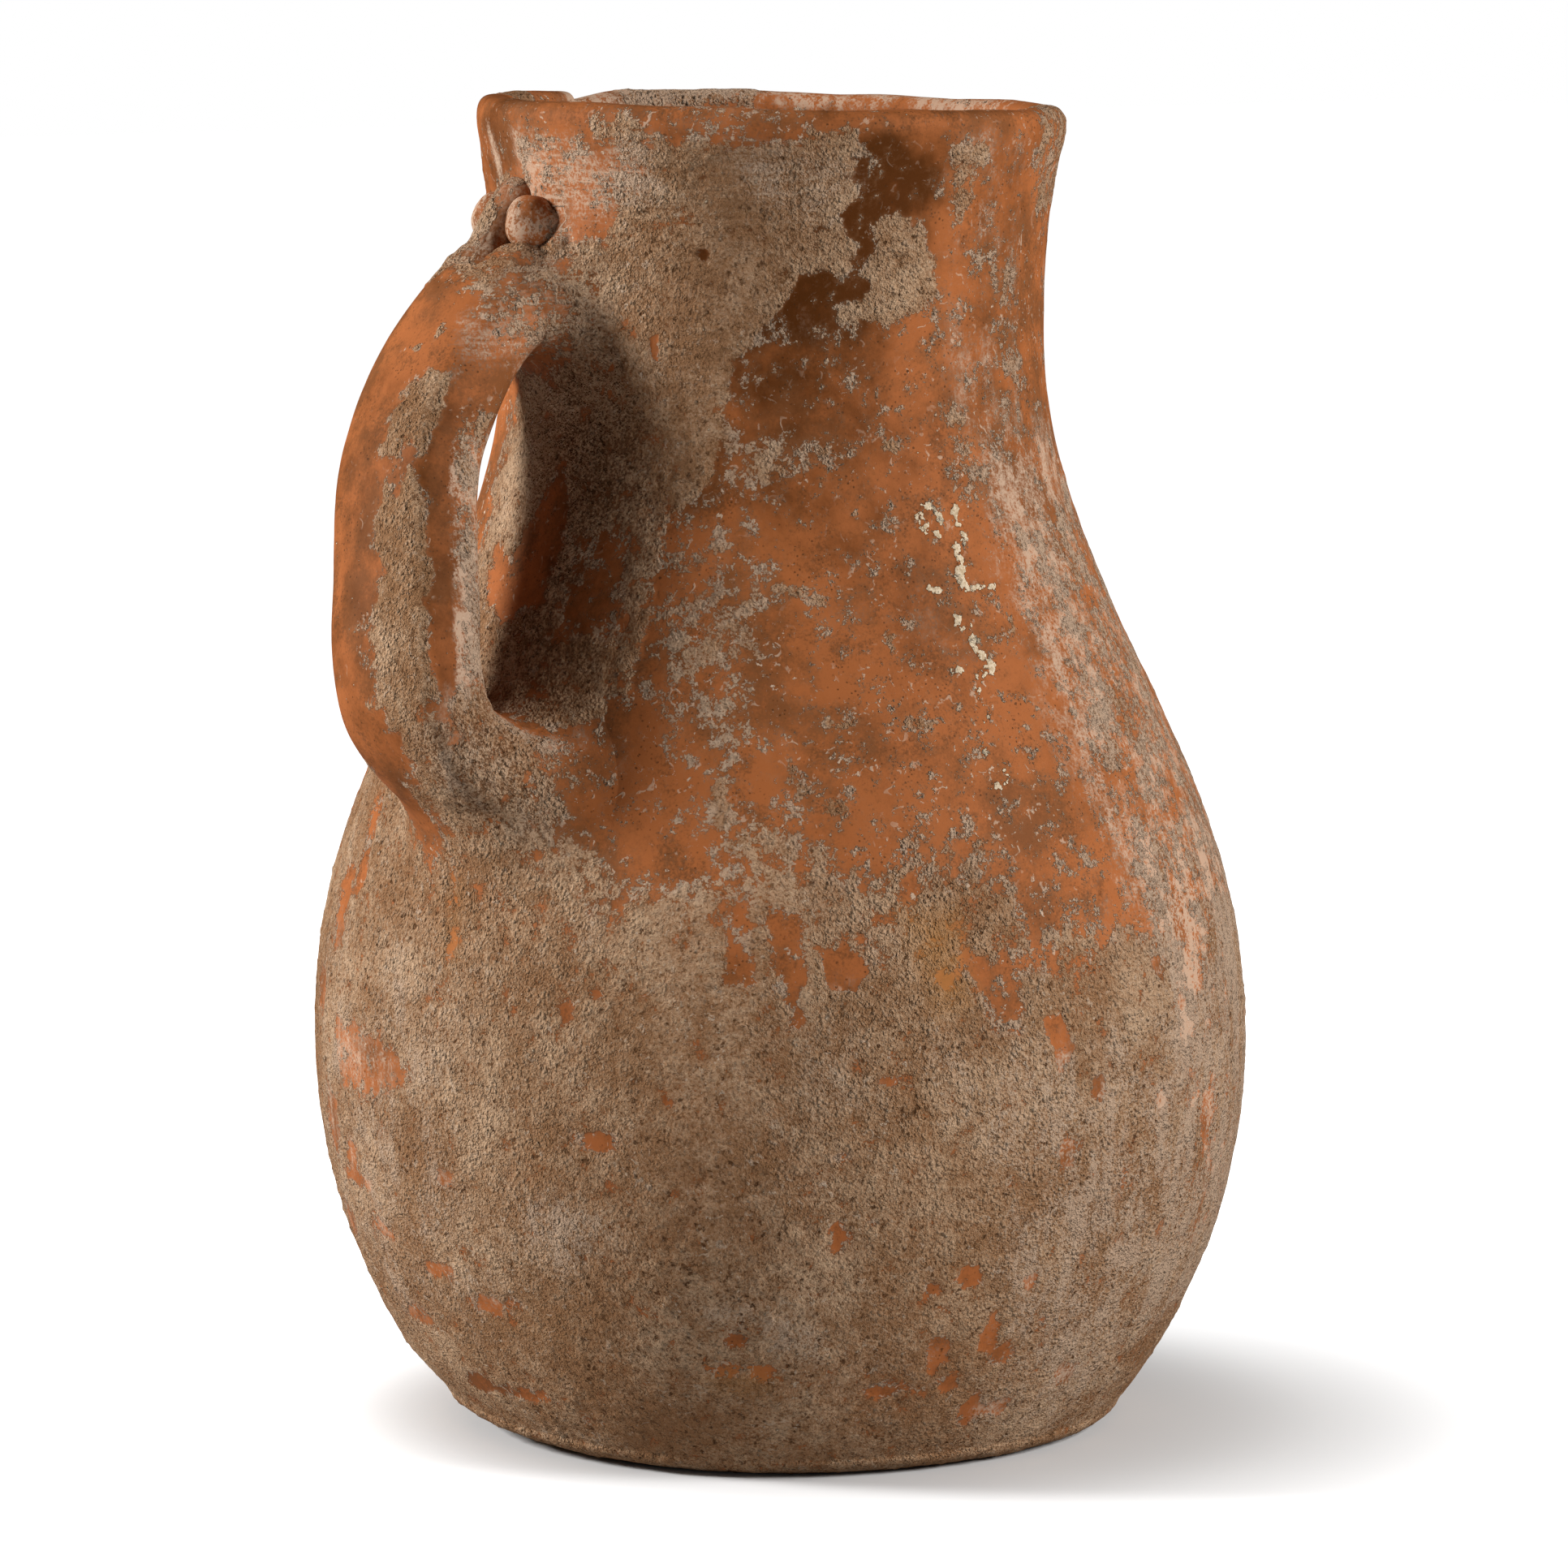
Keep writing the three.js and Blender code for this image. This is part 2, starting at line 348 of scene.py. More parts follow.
@dataclass(frozen=True)
class Weathering:
    """How the ground marked the clay: the sizes of its blotches and grains, and their height."""

    blotch: Noise = Noise(8.0, 3, 11)
    blotch_weight: float = 0.28
    ragged: Noise = Noise(2.1, 2, 21)
    ragged_weight: float = 0.2
    grain: Noise = Noise(2.0, 2, 31)
    clump: Noise = Noise(6.0, 1, 41)
    film: float = 0.1  # thickness of the thinnest crust
    build_up: float = 0.3  # more where the crust is deep
    grain_height: float = 0.55
    pit_depth: float = 0.45
    lime_height: float = 0.3
    ripple: float = 0.07  # of the bare clay

    def settle(self, places: Array, levels: Layers) -> Array:
        """Roughens painted levels into ragged layers, and works out how far they stand proud.

        Crust is its level plus broad and fine noise, so a level near 0 is half covered. Its
        height rises over its edge and then by its depth. Grains stand on it in clumps where a
        noise is high, and pits go into it where the noise is low.

        Args:
            places: the points before they are moved.
            levels: the painted layers, which are changed.

        Returns:
            How far each point stands out from the bare clay.
        """
        broad, fine, grain = (noise.at(places) for noise in (self.blotch, self.ragged, self.grain))
        clump = ease(-0.25, 0.5, self.clump.at(places))
        crust = levels[Layer.CRUST] + self.blotch_weight * broad + self.ragged_weight * fine
        levels[Layer.CRUST] = crust
        uneven = {
            Layer.DARK: 1.0 + 0.4 * broad,
            Layer.HAZE: 1.0 + 0.7 * broad + 0.4 * fine,
            Layer.LIME: 0.8 + 0.5 * grain + 0.6 * fine,
        }
        for layer, share in uneven.items():
            levels[layer] = np.clip(levels[layer] * share, 0.0, 1.0)
        edge = ease(-0.15, 0.2, crust)
        deep = np.clip(crust, 0.0, 1.0)
        lumps = np.clip(grain - 0.15, 0.0, 1.0) * (0.25 + 0.75 * clump)
        pits = np.clip(-0.4 - grain, 0.0, 1.0)
        # painted shade: darker in the pits and lighter on the grains
        hollow = levels[Layer.PAINTED_SHADE] + 0.5 + 0.8 * pits - 0.7 * lumps
        levels[Layer.PAINTED_SHADE] = np.clip(hollow, 0.0, 1.0)
        lift = edge * (self.film + self.build_up * deep)
        lift += edge * (0.3 + 0.7 * deep) * (self.grain_height * lumps - self.pit_depth * pits)
        lift += self.lime_height * ease(0.2, 0.7, levels[Layer.LIME])
        return lift + self.ripple * broad


def plain_levels(shape: tuple[int, ...], crust: float, haze: float = 0.03, dark: float = 0.0) -> Layers:
    """Even layers of that shape, to be painted on.

    Args:
        shape: the grid's shape.
        crust: level of the crust.
        haze: level of the haze.
        dark: level of the stain.

    Returns:
        The layers.
    """
    levels = {layer: np.zeros(shape) for layer in Layer}
    levels[Layer.CRUST] += crust
    levels[Layer.HAZE] += haze
    levels[Layer.DARK] += dark
    return levels


def quads_of(rows: int, columns: int, ring: bool) -> Array:
    """Corner numbers of a grid's faces, closed round its columns, and round its rows if a ring.

    Args:
        rows: rows of the grid.
        columns: points in a row.
        ring: whether the rows close too.

    Returns:
        Four numbers for each face.
    """
    row = np.arange(rows if ring else rows - 1)[:, None]
    column = np.arange(columns)[None, :]
    after = (column + 1) % columns
    above = (row + 1) % rows
    near, far = row * columns, above * columns
    return np.stack([near + column, near + after, far + after, far + column], -1).reshape(-1, 4)


def normals_of(places: Array, outward: Array) -> Array:
    """Unit normals of a grid from the differences along its rows and columns.

    Args:
        places: the grid, closed round its columns.
        outward: a way that is roughly out at each point, to settle the sign.

    Returns:
        The normals.
    """
    along = np.roll(places, -1, 1) - np.roll(places, 1, 1)
    normal = np.cross(along, np.gradient(places, axis=0))
    normal /= np.maximum(np.linalg.norm(normal, axis=-1, keepdims=True), 1e-9)
    return np.where((normal * outward).sum(-1, keepdims=True) < 0.0, -normal, normal)


@dataclass
class Skin:
    """A closed surface: a grid of points, round its columns, with its layers of weathering."""

    places: Array
    layers: Layers
    ring: bool  # its last row joins its first; otherwise a point closes each end
    sharp_rows: tuple[int, ...] = ()

    def mesh(self, name: str) -> bpy.types.Mesh:
        """Puts the grid into a mesh, with its faces outwards.

        Args:
            name: the mesh's name.

        Returns:
            The mesh, smooth but for its sharp rows, with one attribute for each layer.
        """
        rows, columns = self.places.shape[:2]
        points = self.places.reshape(-1, 3)
        quads = quads_of(rows, columns, self.ring)
        a, b, c, d = (points[quads[:, k]] for k in range(4))
        if (a * (np.cross(b, c) + np.cross(c, d))).sum() < 0.0:
            quads = quads[:, ::-1]
        triangles = np.zeros((0, 3), int)
        values = {layer: value.reshape(-1) for layer, value in self.layers.items()}
        if not self.ring:
            ends = (self.places[0].mean(0), self.places[-1].mean(0))
            triangles = self.caps(quads, len(points), columns)
            points = np.vstack([points, *ends])
            for layer, value in values.items():
                values[layer] = np.append(value, (value[:columns].mean(), value[-columns:].mean()))
        mesh = bpy.data.meshes.new(name)
        self.fill(mesh, points * MM, quads, triangles)
        for layer, value in values.items():
            attribute = mesh.attributes.new(layer.value, "FLOAT", "POINT")
            attribute.data.foreach_set("value", value.astype(np.float32))
        self.sharpen(mesh, columns)
        return mesh

    @staticmethod
    def caps(quads: Array, count: int, columns: int) -> Array:
        """Fans that close the two ends, turned the same way as the quads beside them.

        Args:
            quads: the grid's faces.
            count: the number of points, after which the two end points come.
            columns: points in a row.

        Returns:
            Corner numbers of the triangles.
        """
        near = np.arange(columns)
        after = (near + 1) % columns
        first = np.stack([near, np.full(columns, count), after], 1)
        base = count - columns
        last = np.stack([base + after, np.full(columns, count + 1), base + near], 1)
        fans = np.vstack([first, last])
        kept_way = quads[0][1] == 1
        return fans if kept_way else fans[:, ::-1]

    @staticmethod
    def fill(mesh: bpy.types.Mesh, points: Array, quads: Array, triangles: Array) -> None:
        """Writes points and faces into an empty mesh as whole arrays.

        Args:
            mesh: the mesh.
            points: its points, in metres.
            quads: faces with four corners.
            triangles: faces with three.
        """
        corners = np.concatenate([quads.reshape(-1), triangles.reshape(-1)]).astype(np.int32)
        sizes = np.concatenate([np.full(len(quads), 4), np.full(len(triangles), 3)])
        starts = np.concatenate([[0], np.cumsum(sizes)[:-1]])
        mesh.vertices.add(len(points))
        mesh.vertices.foreach_set("co", points.astype(np.float32).ravel())
        mesh.loops.add(len(corners))
        mesh.loops.foreach_set("vertex_index", corners)
        mesh.polygons.add(len(sizes))
        mesh.polygons.foreach_set("loop_start", starts.astype(np.int32))
        mesh.update(calc_edges=True)
        mesh.validate()
        mesh.shade_smooth()

    def sharpen(self, mesh: bpy.types.Mesh, columns: int) -> None:
        """Marks the edges along the sharp rows, so that the seam faces don't bend the shading.

        Args:
            mesh: the mesh.
            columns: points in a row.
        """
        if not self.sharp_rows:
            return
        ends = np.empty(len(mesh.edges) * 2, np.int32)
        mesh.edges.foreach_get("vertices", ends)
        row = ends.reshape(-1, 2) // columns
        sharp = (row[:, 0] == row[:, 1]) & np.isin(row[:, 0], self.sharp_rows)
        attribute = mesh.attributes.new("sharp_edge", "BOOLEAN", "EDGE")
        attribute.data.foreach_set("value", sharp)


Piece = tuple[str, Skin, Slot]  # a node's name, its surface and its finish


@dataclass
class Rows:
    """Points of a turned profile in order, with the way that each faces."""

    side: Side
    radius: Array
    height: Array
    face_out: Array
    face_up: Array


@dataclass(frozen=True)
class VesselShape:
    """The vessel's sizes, which are those of the solids, and its worn rim."""

    foot_radius: float = 63.5
    foot_round_width: float = 10.0
    foot_round_height: float = 4.0
    base_thickness: float = 10.0
    belly_radius: float = 92.0
    belly_height: float = 76.0
    neck_radius: float = 53.0
    neck_height: float = 213.0
    shoulder_fullness: float = 1.08
    rim_overhang: float = 4.0
    rim_flare: float = 2.2
    rim_foot: float = 232.0
    lip_height: float = 255.5
    lip_rise: float = 4.5
    lip_squareness: float = 0.72
    rim_height: float = 260.0
    wall: float = 7.0
    lean: float = 2.5
    lean_bearing: float = 141.0
    bead: float = 0.5  # the swelling under the lip
    bead_height: float = 254.0
    bead_width: float = 4.5
    rim_tilt: float = 1.1  # degrees, down to the camera's right
    rim_wobble: float = 0.35
    foot_lift: float = 2.5  # of the worn edge to the camera's left
    unevenness: float = 0.3  # of the hand-built wall
    swell: Noise = Noise(46.0, 1, 3)
    wobble: Noise = Noise(21.0, 1, 5)
    drum: float = 60.0  # radius of the round on which those two are read
    tilt_heights: Point = (215.0, 252.0)  # between which the rim's tilt sets in
    worn_radii: Point = (44.0, 62.0)  # between which the worn edge's lift sets in
    worn_heights: Point = (18.0, 4.0)

    def plain_radius(self, height: Array) -> Array:
        """Outer radius of the solid: an ellipse, an S-curve and a flare, by height.

        Args:
            height: heights above the ground.

        Returns:
            The radius at each height.
        """
        drop = self.belly_height / math.sqrt(1.0 - (self.foot_radius / self.belly_radius) ** 2)
        below = np.clip((self.belly_height - height) / drop, 0.0, 1.0)
        belly = self.belly_radius * np.sqrt(1.0 - below**2)
        climb = (height - self.belly_height) / (self.neck_height - self.belly_height)
        climb = np.clip(climb, 0.0, 1.0) ** self.shoulder_fullness
        narrowing = (self.belly_radius - self.neck_radius) * (1.0 - np.cos(np.pi * climb)) / 2.0
        flare = np.clip((height - self.neck_height) / (self.lip_height - self.neck_height), 0.0, None)
        return belly - narrowing + self.rim_overhang * flare**self.rim_flare

    def outer_radius(self, height: Array) -> Array:
        """The plain radius with the bead under the lip."""
        return self.plain_radius(height) + self.bead * bell(height, self.bead_height, self.bead_width)

    def inner_radius(self, height: Array) -> Array:
        """The plain radius less the wall, measured square to its slope."""
        return self.plain_radius(height) - self.wall * np.hypot(1.0, slope_of(self.plain_radius, height))

    def outer_rows(self, low: float, high: float) -> Rows:
        """The outside between two heights, from the bottom up."""
        ends = self.outer_radius(np.array([low, high]))
        return self.wall_rows(Side.OUTSIDE, low, high, np.hypot(high - low, ends[1] - ends[0]) / FINE_STEP)

    def inner_rows(self, high: float, low: float) -> Rows:
        """The inside between two heights, from the top down."""
        return self.wall_rows(Side.INSIDE, high, low, (high - low) / PLAIN_STEP)

    def wall_rows(self, side: Side, start: float, end: float, steps: float) -> Rows:
        """One face of the wall, turned out or in, square to its slope.

        Args:
            side: outside or inside.
            start: the first height.
            end: the last height.
            steps: the least number of steps between them.

        Returns:
            The rows.
        """
        radius_at, out = self.outer_radius, 1.0
        if side is Side.INSIDE:
            radius_at, out = self.inner_radius, -1.0
        height = np.linspace(start, end, math.ceil(steps) + 1)
        slope = slope_of(radius_at, height)
        length = np.hypot(1.0, slope)
        return Rows(side, radius_at(height), height, out / length, -out * slope / length)

    def oval_rows(self, centre: Point, halves: Point, angle: Array, squareness: float) -> Rows:
        """Part of a squarish oval: cosines and sines raised to the squareness.

        Args:
            centre: radius and height of its middle.
            halves: half its width and half its height.
            angle: angles from the outside up.
            squareness: 1 for an ellipse, less for a squarer form.

        Returns:
            The rows.
        """
        ways = [signed_power(np.cos(angle), squareness), signed_power(np.sin(angle), squareness)]
        faces = [signed_power(way, 2.0 / squareness - 1.0) / half for way, half in zip(ways, halves)]
        length = np.hypot(*faces)
        radius, height = (middle + half * way for middle, half, way in zip(centre, halves, ways))
        return Rows(Side.OUTSIDE, radius, height, faces[0] / length, faces[1] / length)

    def lip_rows(self) -> Rows:
        """The top of the rim as a squarish half-oval, from the outside over to the inside.

        Returns:
            The rows.
        """
        outside = float(self.outer_radius(np.array(self.lip_height)))
        inside = float(self.inner_radius(np.array(self.lip_height)))
        half = (outside - inside) / 2.0
        angle = np.linspace(0.0, np.pi, round(1.2 * np.pi * half / FINE_STEP) + 1)[1:-1]
        centre = inside + half, self.lip_height
        return self.oval_rows(centre, (half, self.lip_rise), angle, self.lip_squareness)

    def foot_rows(self) -> Rows:
        """The worn edge round the underside as a quarter of an ellipse, from below outwards.

        Returns:
            The rows.
        """
        halves = wide, high = self.foot_round_width, self.foot_round_height
        edge = float(self.outer_radius(np.array(high)))
        angle = np.linspace(-np.pi / 2.0, 0.0, round(wide / FINE_STEP) + 1)[:-1]
        return self.oval_rows((edge - wide, high), halves, angle, 1.0)

    def level_rows(self, side: Side, start: float, end: float, height: float, face_up: float) -> Rows:
        """A level disc or ring between two radii.

        Args:
            side: how it weathered.
            start: the first radius.
            end: the last radius.
            height: above the ground.
            face_up: 1 if it faces up, -1 if down.

        Returns:
            The rows.
        """
        radius = np.linspace(start, end, math.ceil(abs(end - start) / PLAIN_STEP) + 1)
        flat = np.zeros(len(radius))
        return Rows(side, radius, flat + height, flat, flat + face_up)

    def stand(self, radius: Array, turn: Array, height: Array) -> Array:
        """Puts points of the turned form in place: uneven, tilted at the rim and leaning.

        The wall swells and shrinks a little by a broad noise. Near the rim each height shifts
        with its distance to the camera's right, and by a slow wobble. The worn edge of the foot
        is raised on the left. Each height is then set over in proportion, as the solids are.

        Args:
            radius: from the axis.
            turn: degrees to the right of the front.
            height: above the ground.

        Returns:
            Points with x, y and z on the last axis.
        """
        bearing = np.radians(FRONT_BEARING + turn)
        x, y = radius * np.cos(bearing), radius * np.sin(bearing)
        round_x, round_y = self.drum * np.cos(bearing), self.drum * np.sin(bearing)
        swell = self.swell.at(np.stack([round_x, round_y, height], -1)) * self.unevenness
        x, y = x + swell * np.cos(bearing), y + swell * np.sin(bearing)
        near_rim = ease(*self.tilt_heights, height)
        wobble = self.wobble.at(np.stack([round_x, round_y, 0.0 * height], -1)) * self.rim_wobble
        fall = radius * np.sin(np.radians(turn)) * math.tan(math.radians(self.rim_tilt))
        height = height + near_rim * (wobble - fall)
        left = np.clip(-np.sin(np.radians(turn)), 0.0, 1.0) ** 2
        lift = self.foot_lift * left * ease(*self.worn_radii, radius)
        height = height + lift * ease(*self.worn_heights, height)
        return self.leaned(np.stack([x, y, height], -1))

    def leaned(self, points: Array) -> Array:
        """Sets points over in proportion to their height.

        Args:
            points: upright points.

        Returns:
            The points, leaning.
        """
        share = self.lean / self.rim_height * points[..., 2]
        angle = math.radians(self.lean_bearing)
        shift = [share * math.cos(angle), share * math.sin(angle), 0.0 * share]
        return points + np.stack(shift, -1)

    def wide_at(self, height: float) -> float:
        """Millimetres in a degree of turn at a height."""
        return math.radians(1.0) * float(self.plain_radius(np.array(height)))


def slope_of(radius_at: Callable[[Array], Array], height: Array) -> Array:
    """How fast a radius grows with height, over a millimetre."""
    return radius_at(height + 0.5) - radius_at(height - 0.5)


crust_patch, crust_spots = partial(patch, Layer.CRUST), partial(spots, Layer.CRUST)
stain_patch, stain_spots = partial(patch, Layer.DARK), partial(spots, Layer.DARK)
ochre_patch, ochre_spots = partial(patch, Layer.OCHRE), partial(spots, Layer.OCHRE)
haze_patch = partial(patch, Layer.HAZE)
wiped_patch = partial(patch, Layer.WIPED)
# patches of painted shade, deepening or easing the darkening in the crust's hollows
painted_shade_patch = partial(patch, Layer.PAINTED_SHADE)
lime_spots = partial(spots, Layer.LIME)

NECK_MARKS: list[Mark] = [
    crust_patch(0.6, 1,
        (-59, 254), (14, 255), (16, 250), (17, 243), (9, 238), (5, 230), (3, 224), (-3, 218), (-8, 212),
        (-9, 201), (-12, 190), (-20, 182), (-23, 150), (-76, 148), (-82, 162), (-75, 174), (-81, 186),
        (-72, 197), (-74, 208), (-62, 228), (-52, 234), (-46, 240), (-58, 243)),
    crust_patch(-0.4, 9, (-96, 216), (-68, 212), (-70, 190), (-72, 150), (-96, 146)),
    crust_patch(-0.12, 5, (-59, 255), (-30, 254), (-26, 246), (-34, 238), (-58, 242)),
    crust_patch(-0.4, 2.5, (-56, 243), (-42, 244), (-34, 240), (-36, 234), (-52, 234)),
    haze_patch(0.75, 4, (-59, 253), (-24, 253), (-22, 244), (-34, 239), (-58, 240)),
    wiped_patch(1, 4, (-60, 257), (16, 257), (16, 240), (-10, 236), (-34, 230), (-50, 234)),
    crust_patch(0.45, 2, (-66, 246), (-52, 238), (-46, 230), (-52, 224), (-70, 226), (-78, 240)),
    stain_patch(0.55, 2, (-74, 243), (-54, 241), (-50, 232), (-56, 228), (-74, 230)),
    crust_patch(0.1, 3, (-10, 203), (3, 203), (12, 205), (16, 198), (10, 192), (-10, 188)),
    crust_patch(0.75, 2,
        (21, 239), (26, 241), (31, 238), (34, 231), (35, 226), (31, 222), (25, 220), (14, 220), (13, 222),
        (20, 225), (19, 229), (22, 233)),
    crust_patch(0.3, 1.2, (8, 237), (13, 239), (18, 235), (17, 231), (14, 229), (4, 229), (4, 231)),
    crust_patch(0.35, 1.5, (36, 254), (47, 254), (45, 246), (42, 239), (39, 237), (38, 244)),
    crust_patch(0.05, 3, (44, 237), (53, 235), (54, 226), (46, 227)),
    crust_patch(0.05, 4, (38, 202), (45, 202), (46, 186), (39, 186)),
    crust_patch(0.05, 5, (52, 236), (60, 230), (62, 198), (54, 200)),
    *crust_spots(-0.9, 0.7, (-25, 215, 0.8, 2.2), (-36, 211, 0.9, 1), (-14, 232, 0.9, 0.8),
        (4, 219, 1.2, 0.7)),
    stain_patch(0.6, 11, (-20, 216), (22, 216), (26, 198), (17, 184), (-24, 184)),
    stain_patch(1.1, 11, (-18, 264), (25, 264), (35, 256), (37, 242), (31, 228), (20, 217), (-18, 215)),
    crust_patch(-0.35, 5, (19, 258), (30, 258), (36, 250), (36, 243), (26, 243), (19, 241), (18, 248)),
    crust_patch(-0.3, 5, (4, 221), (13, 218), (16, 200), (-6, 198), (-6, 211)),
    stain_patch(0.6, 6, (-12, 206), (2, 208), (8, 200), (4, 190), (-13, 188)),
    stain_patch(0.4, 8, (39, 256), (64, 258), (68, 196), (52, 188), (42, 206)),
    stain_patch(0.45, 7, (-4, 198), (24, 202), (28, 180), (14, 172), (0, 178)),
    haze_patch(0.25, 5, (37, 256), (60, 256), (66, 200), (52, 190), (38, 205)),
    stain_patch(0.5, 5, (-92, 263), (-60, 263), (-60, 236), (-92, 236)),
    haze_patch(0.3, 2.5, (-75, 255), (-69, 255), (-69, 238), (-74, 238)),
    haze_patch(0.6, 4, (-8, 253), (12, 252), (16, 246), (8, 239), (-4, 243)),
    # less painted shade in the crust's hollows here
    painted_shade_patch(-0.3, 4, (-16, 254), (13, 254), (16, 246), (8, 238), (-14, 241)),
    haze_patch(0.45, 5, (-62, 236), (-44, 238), (-36, 226), (-50, 216), (-66, 220)),
]

SHOULDER_MARKS: list[Mark] = [
    crust_patch(-0.05, 7, (-24, 182), (-6, 182), (-2, 160), (-4, 140), (-22, 146)),
    crust_patch(0.2, 3, (-16, 170), (-5, 168), (-3, 158), (-14, 156)),
    crust_patch(0.5, 3, (-84, 130), (-56, 140), (-32, 144), (-27, 126), (-30, 104), (-84, 104)),
    crust_patch(0.4, 4, (-50, 206), (-24, 206), (-23, 178), (-26, 150), (-52, 150)),
    crust_patch(-0.2, 4, (-40, 180), (-28, 180), (-26, 162), (-38, 160)),
    crust_patch(-0.5, 1.8, (-62, 176), (-55, 173), (-51, 186), (-46, 192), (-42, 180), (-45, 166),
        (-52, 162), (-60, 166)),
    crust_patch(-0.6, 3, (-30, 148), (-20, 148), (-16, 138), (-22, 131), (-30, 134)),
    crust_patch(0, 5, (54, 180), (90, 190), (95, 60), (60, 62), (52, 120)),
    crust_patch(0.35, 5, (58, 104), (92, 104), (94, 40), (60, 40)),
    stain_patch(0.4, 7, (16, 196), (30, 196), (30, 152), (18, 150)),
    # painted shade: darker crust where the handle's shadow falls on the wall
    painted_shade_patch(0.3, 6, (-48, 202), (-26, 202), (-28, 152), (-48, 152)),
    stain_patch(0.5, 6, (-48, 202), (-26, 202), (-28, 152), (-48, 152)),
    haze_patch(0.5, 10, (44, 196), (95, 196), (95, 110), (48, 110)),
    stain_patch(0.3, 10, (38, 200), (70, 200), (70, 120), (40, 120)),
    haze_patch(2, 12, (56, 114), (100, 114), (100, 30), (58, 30)),
    haze_patch(0.45, 4, (-52, 140), (-32, 143), (-26, 130), (-40, 120), (-52, 124)),
    # painted shade in the crust's hollows by the handle's lower joint
    painted_shade_patch(0.3, 5, (-56, 142), (-36, 145), (-28, 132), (-40, 112), (-56, 116)),
    *lime_spots(0.95, 0.7, (28, 183, 1.1, 1.3), (30.5, 184.5, 1.2, 0.9), (29, 180.5, 1, 1),
        (32.5, 183, 0.9, 1.1), (31.5, 179.5, 0.8, 0.8), (36, 184, 0.9, 1.6), (36.5, 180, 1, 2.2),
        (35.2, 176, 1.1, 1.9), (34.2, 172.5, 1, 1.6), (34.6, 169.8, 1.4, 1), (37.5, 169.3, 1.9, 0.8),
        (41, 169, 1.4, 0.8), (28.6, 169.6, 1.5, 0.8), (31.5, 164.3, 1, 0.9), (33, 162.6, 0.9, 0.7),
        (34, 160, 0.8, 1.2), (34.2, 157.4, 1, 1.1), (35.6, 155, 1.9, 1.5), (33.5, 153.6, 1.3, 1),
        (29.4, 154.8, 1.3, 0.9)),
    *lime_spots(0.6, 1, (32.5, 150.5, 1, 1.4), (32, 146.5, 1.2, 2), (31, 141, 1, 1.8),
        (33.5, 136, 0.8, 1.8), (31.8, 133.5, 1.6, 0.8)),
    *crust_spots(0.35, 0.9, (3, 170, 3, 1.2), (7, 168, 2.2, 0.8), (19, 160, 1, 2.2), (9, 146, 2.6, 0.9),
        (22, 145.6, 5, 0.7), (4, 134, 2.2, 1), (7, 131, 2.8, 1.6), (2, 138, 0.9, 2.4),
        (-8, 132, 2, 4.5), (-4, 124, 3.5, 2), (16, 184, 1.2, 0.7), (24, 196, 1.8, 0.9),
        (26, 203, 1.6, 0.7), (9, 190, 1.4, 0.8), (52, 178, 1.4, 2.2), (43, 162, 1, 2),
        (48, 150, 1.8, 0.8), (36, 140, 1.4, 0.8)),
]

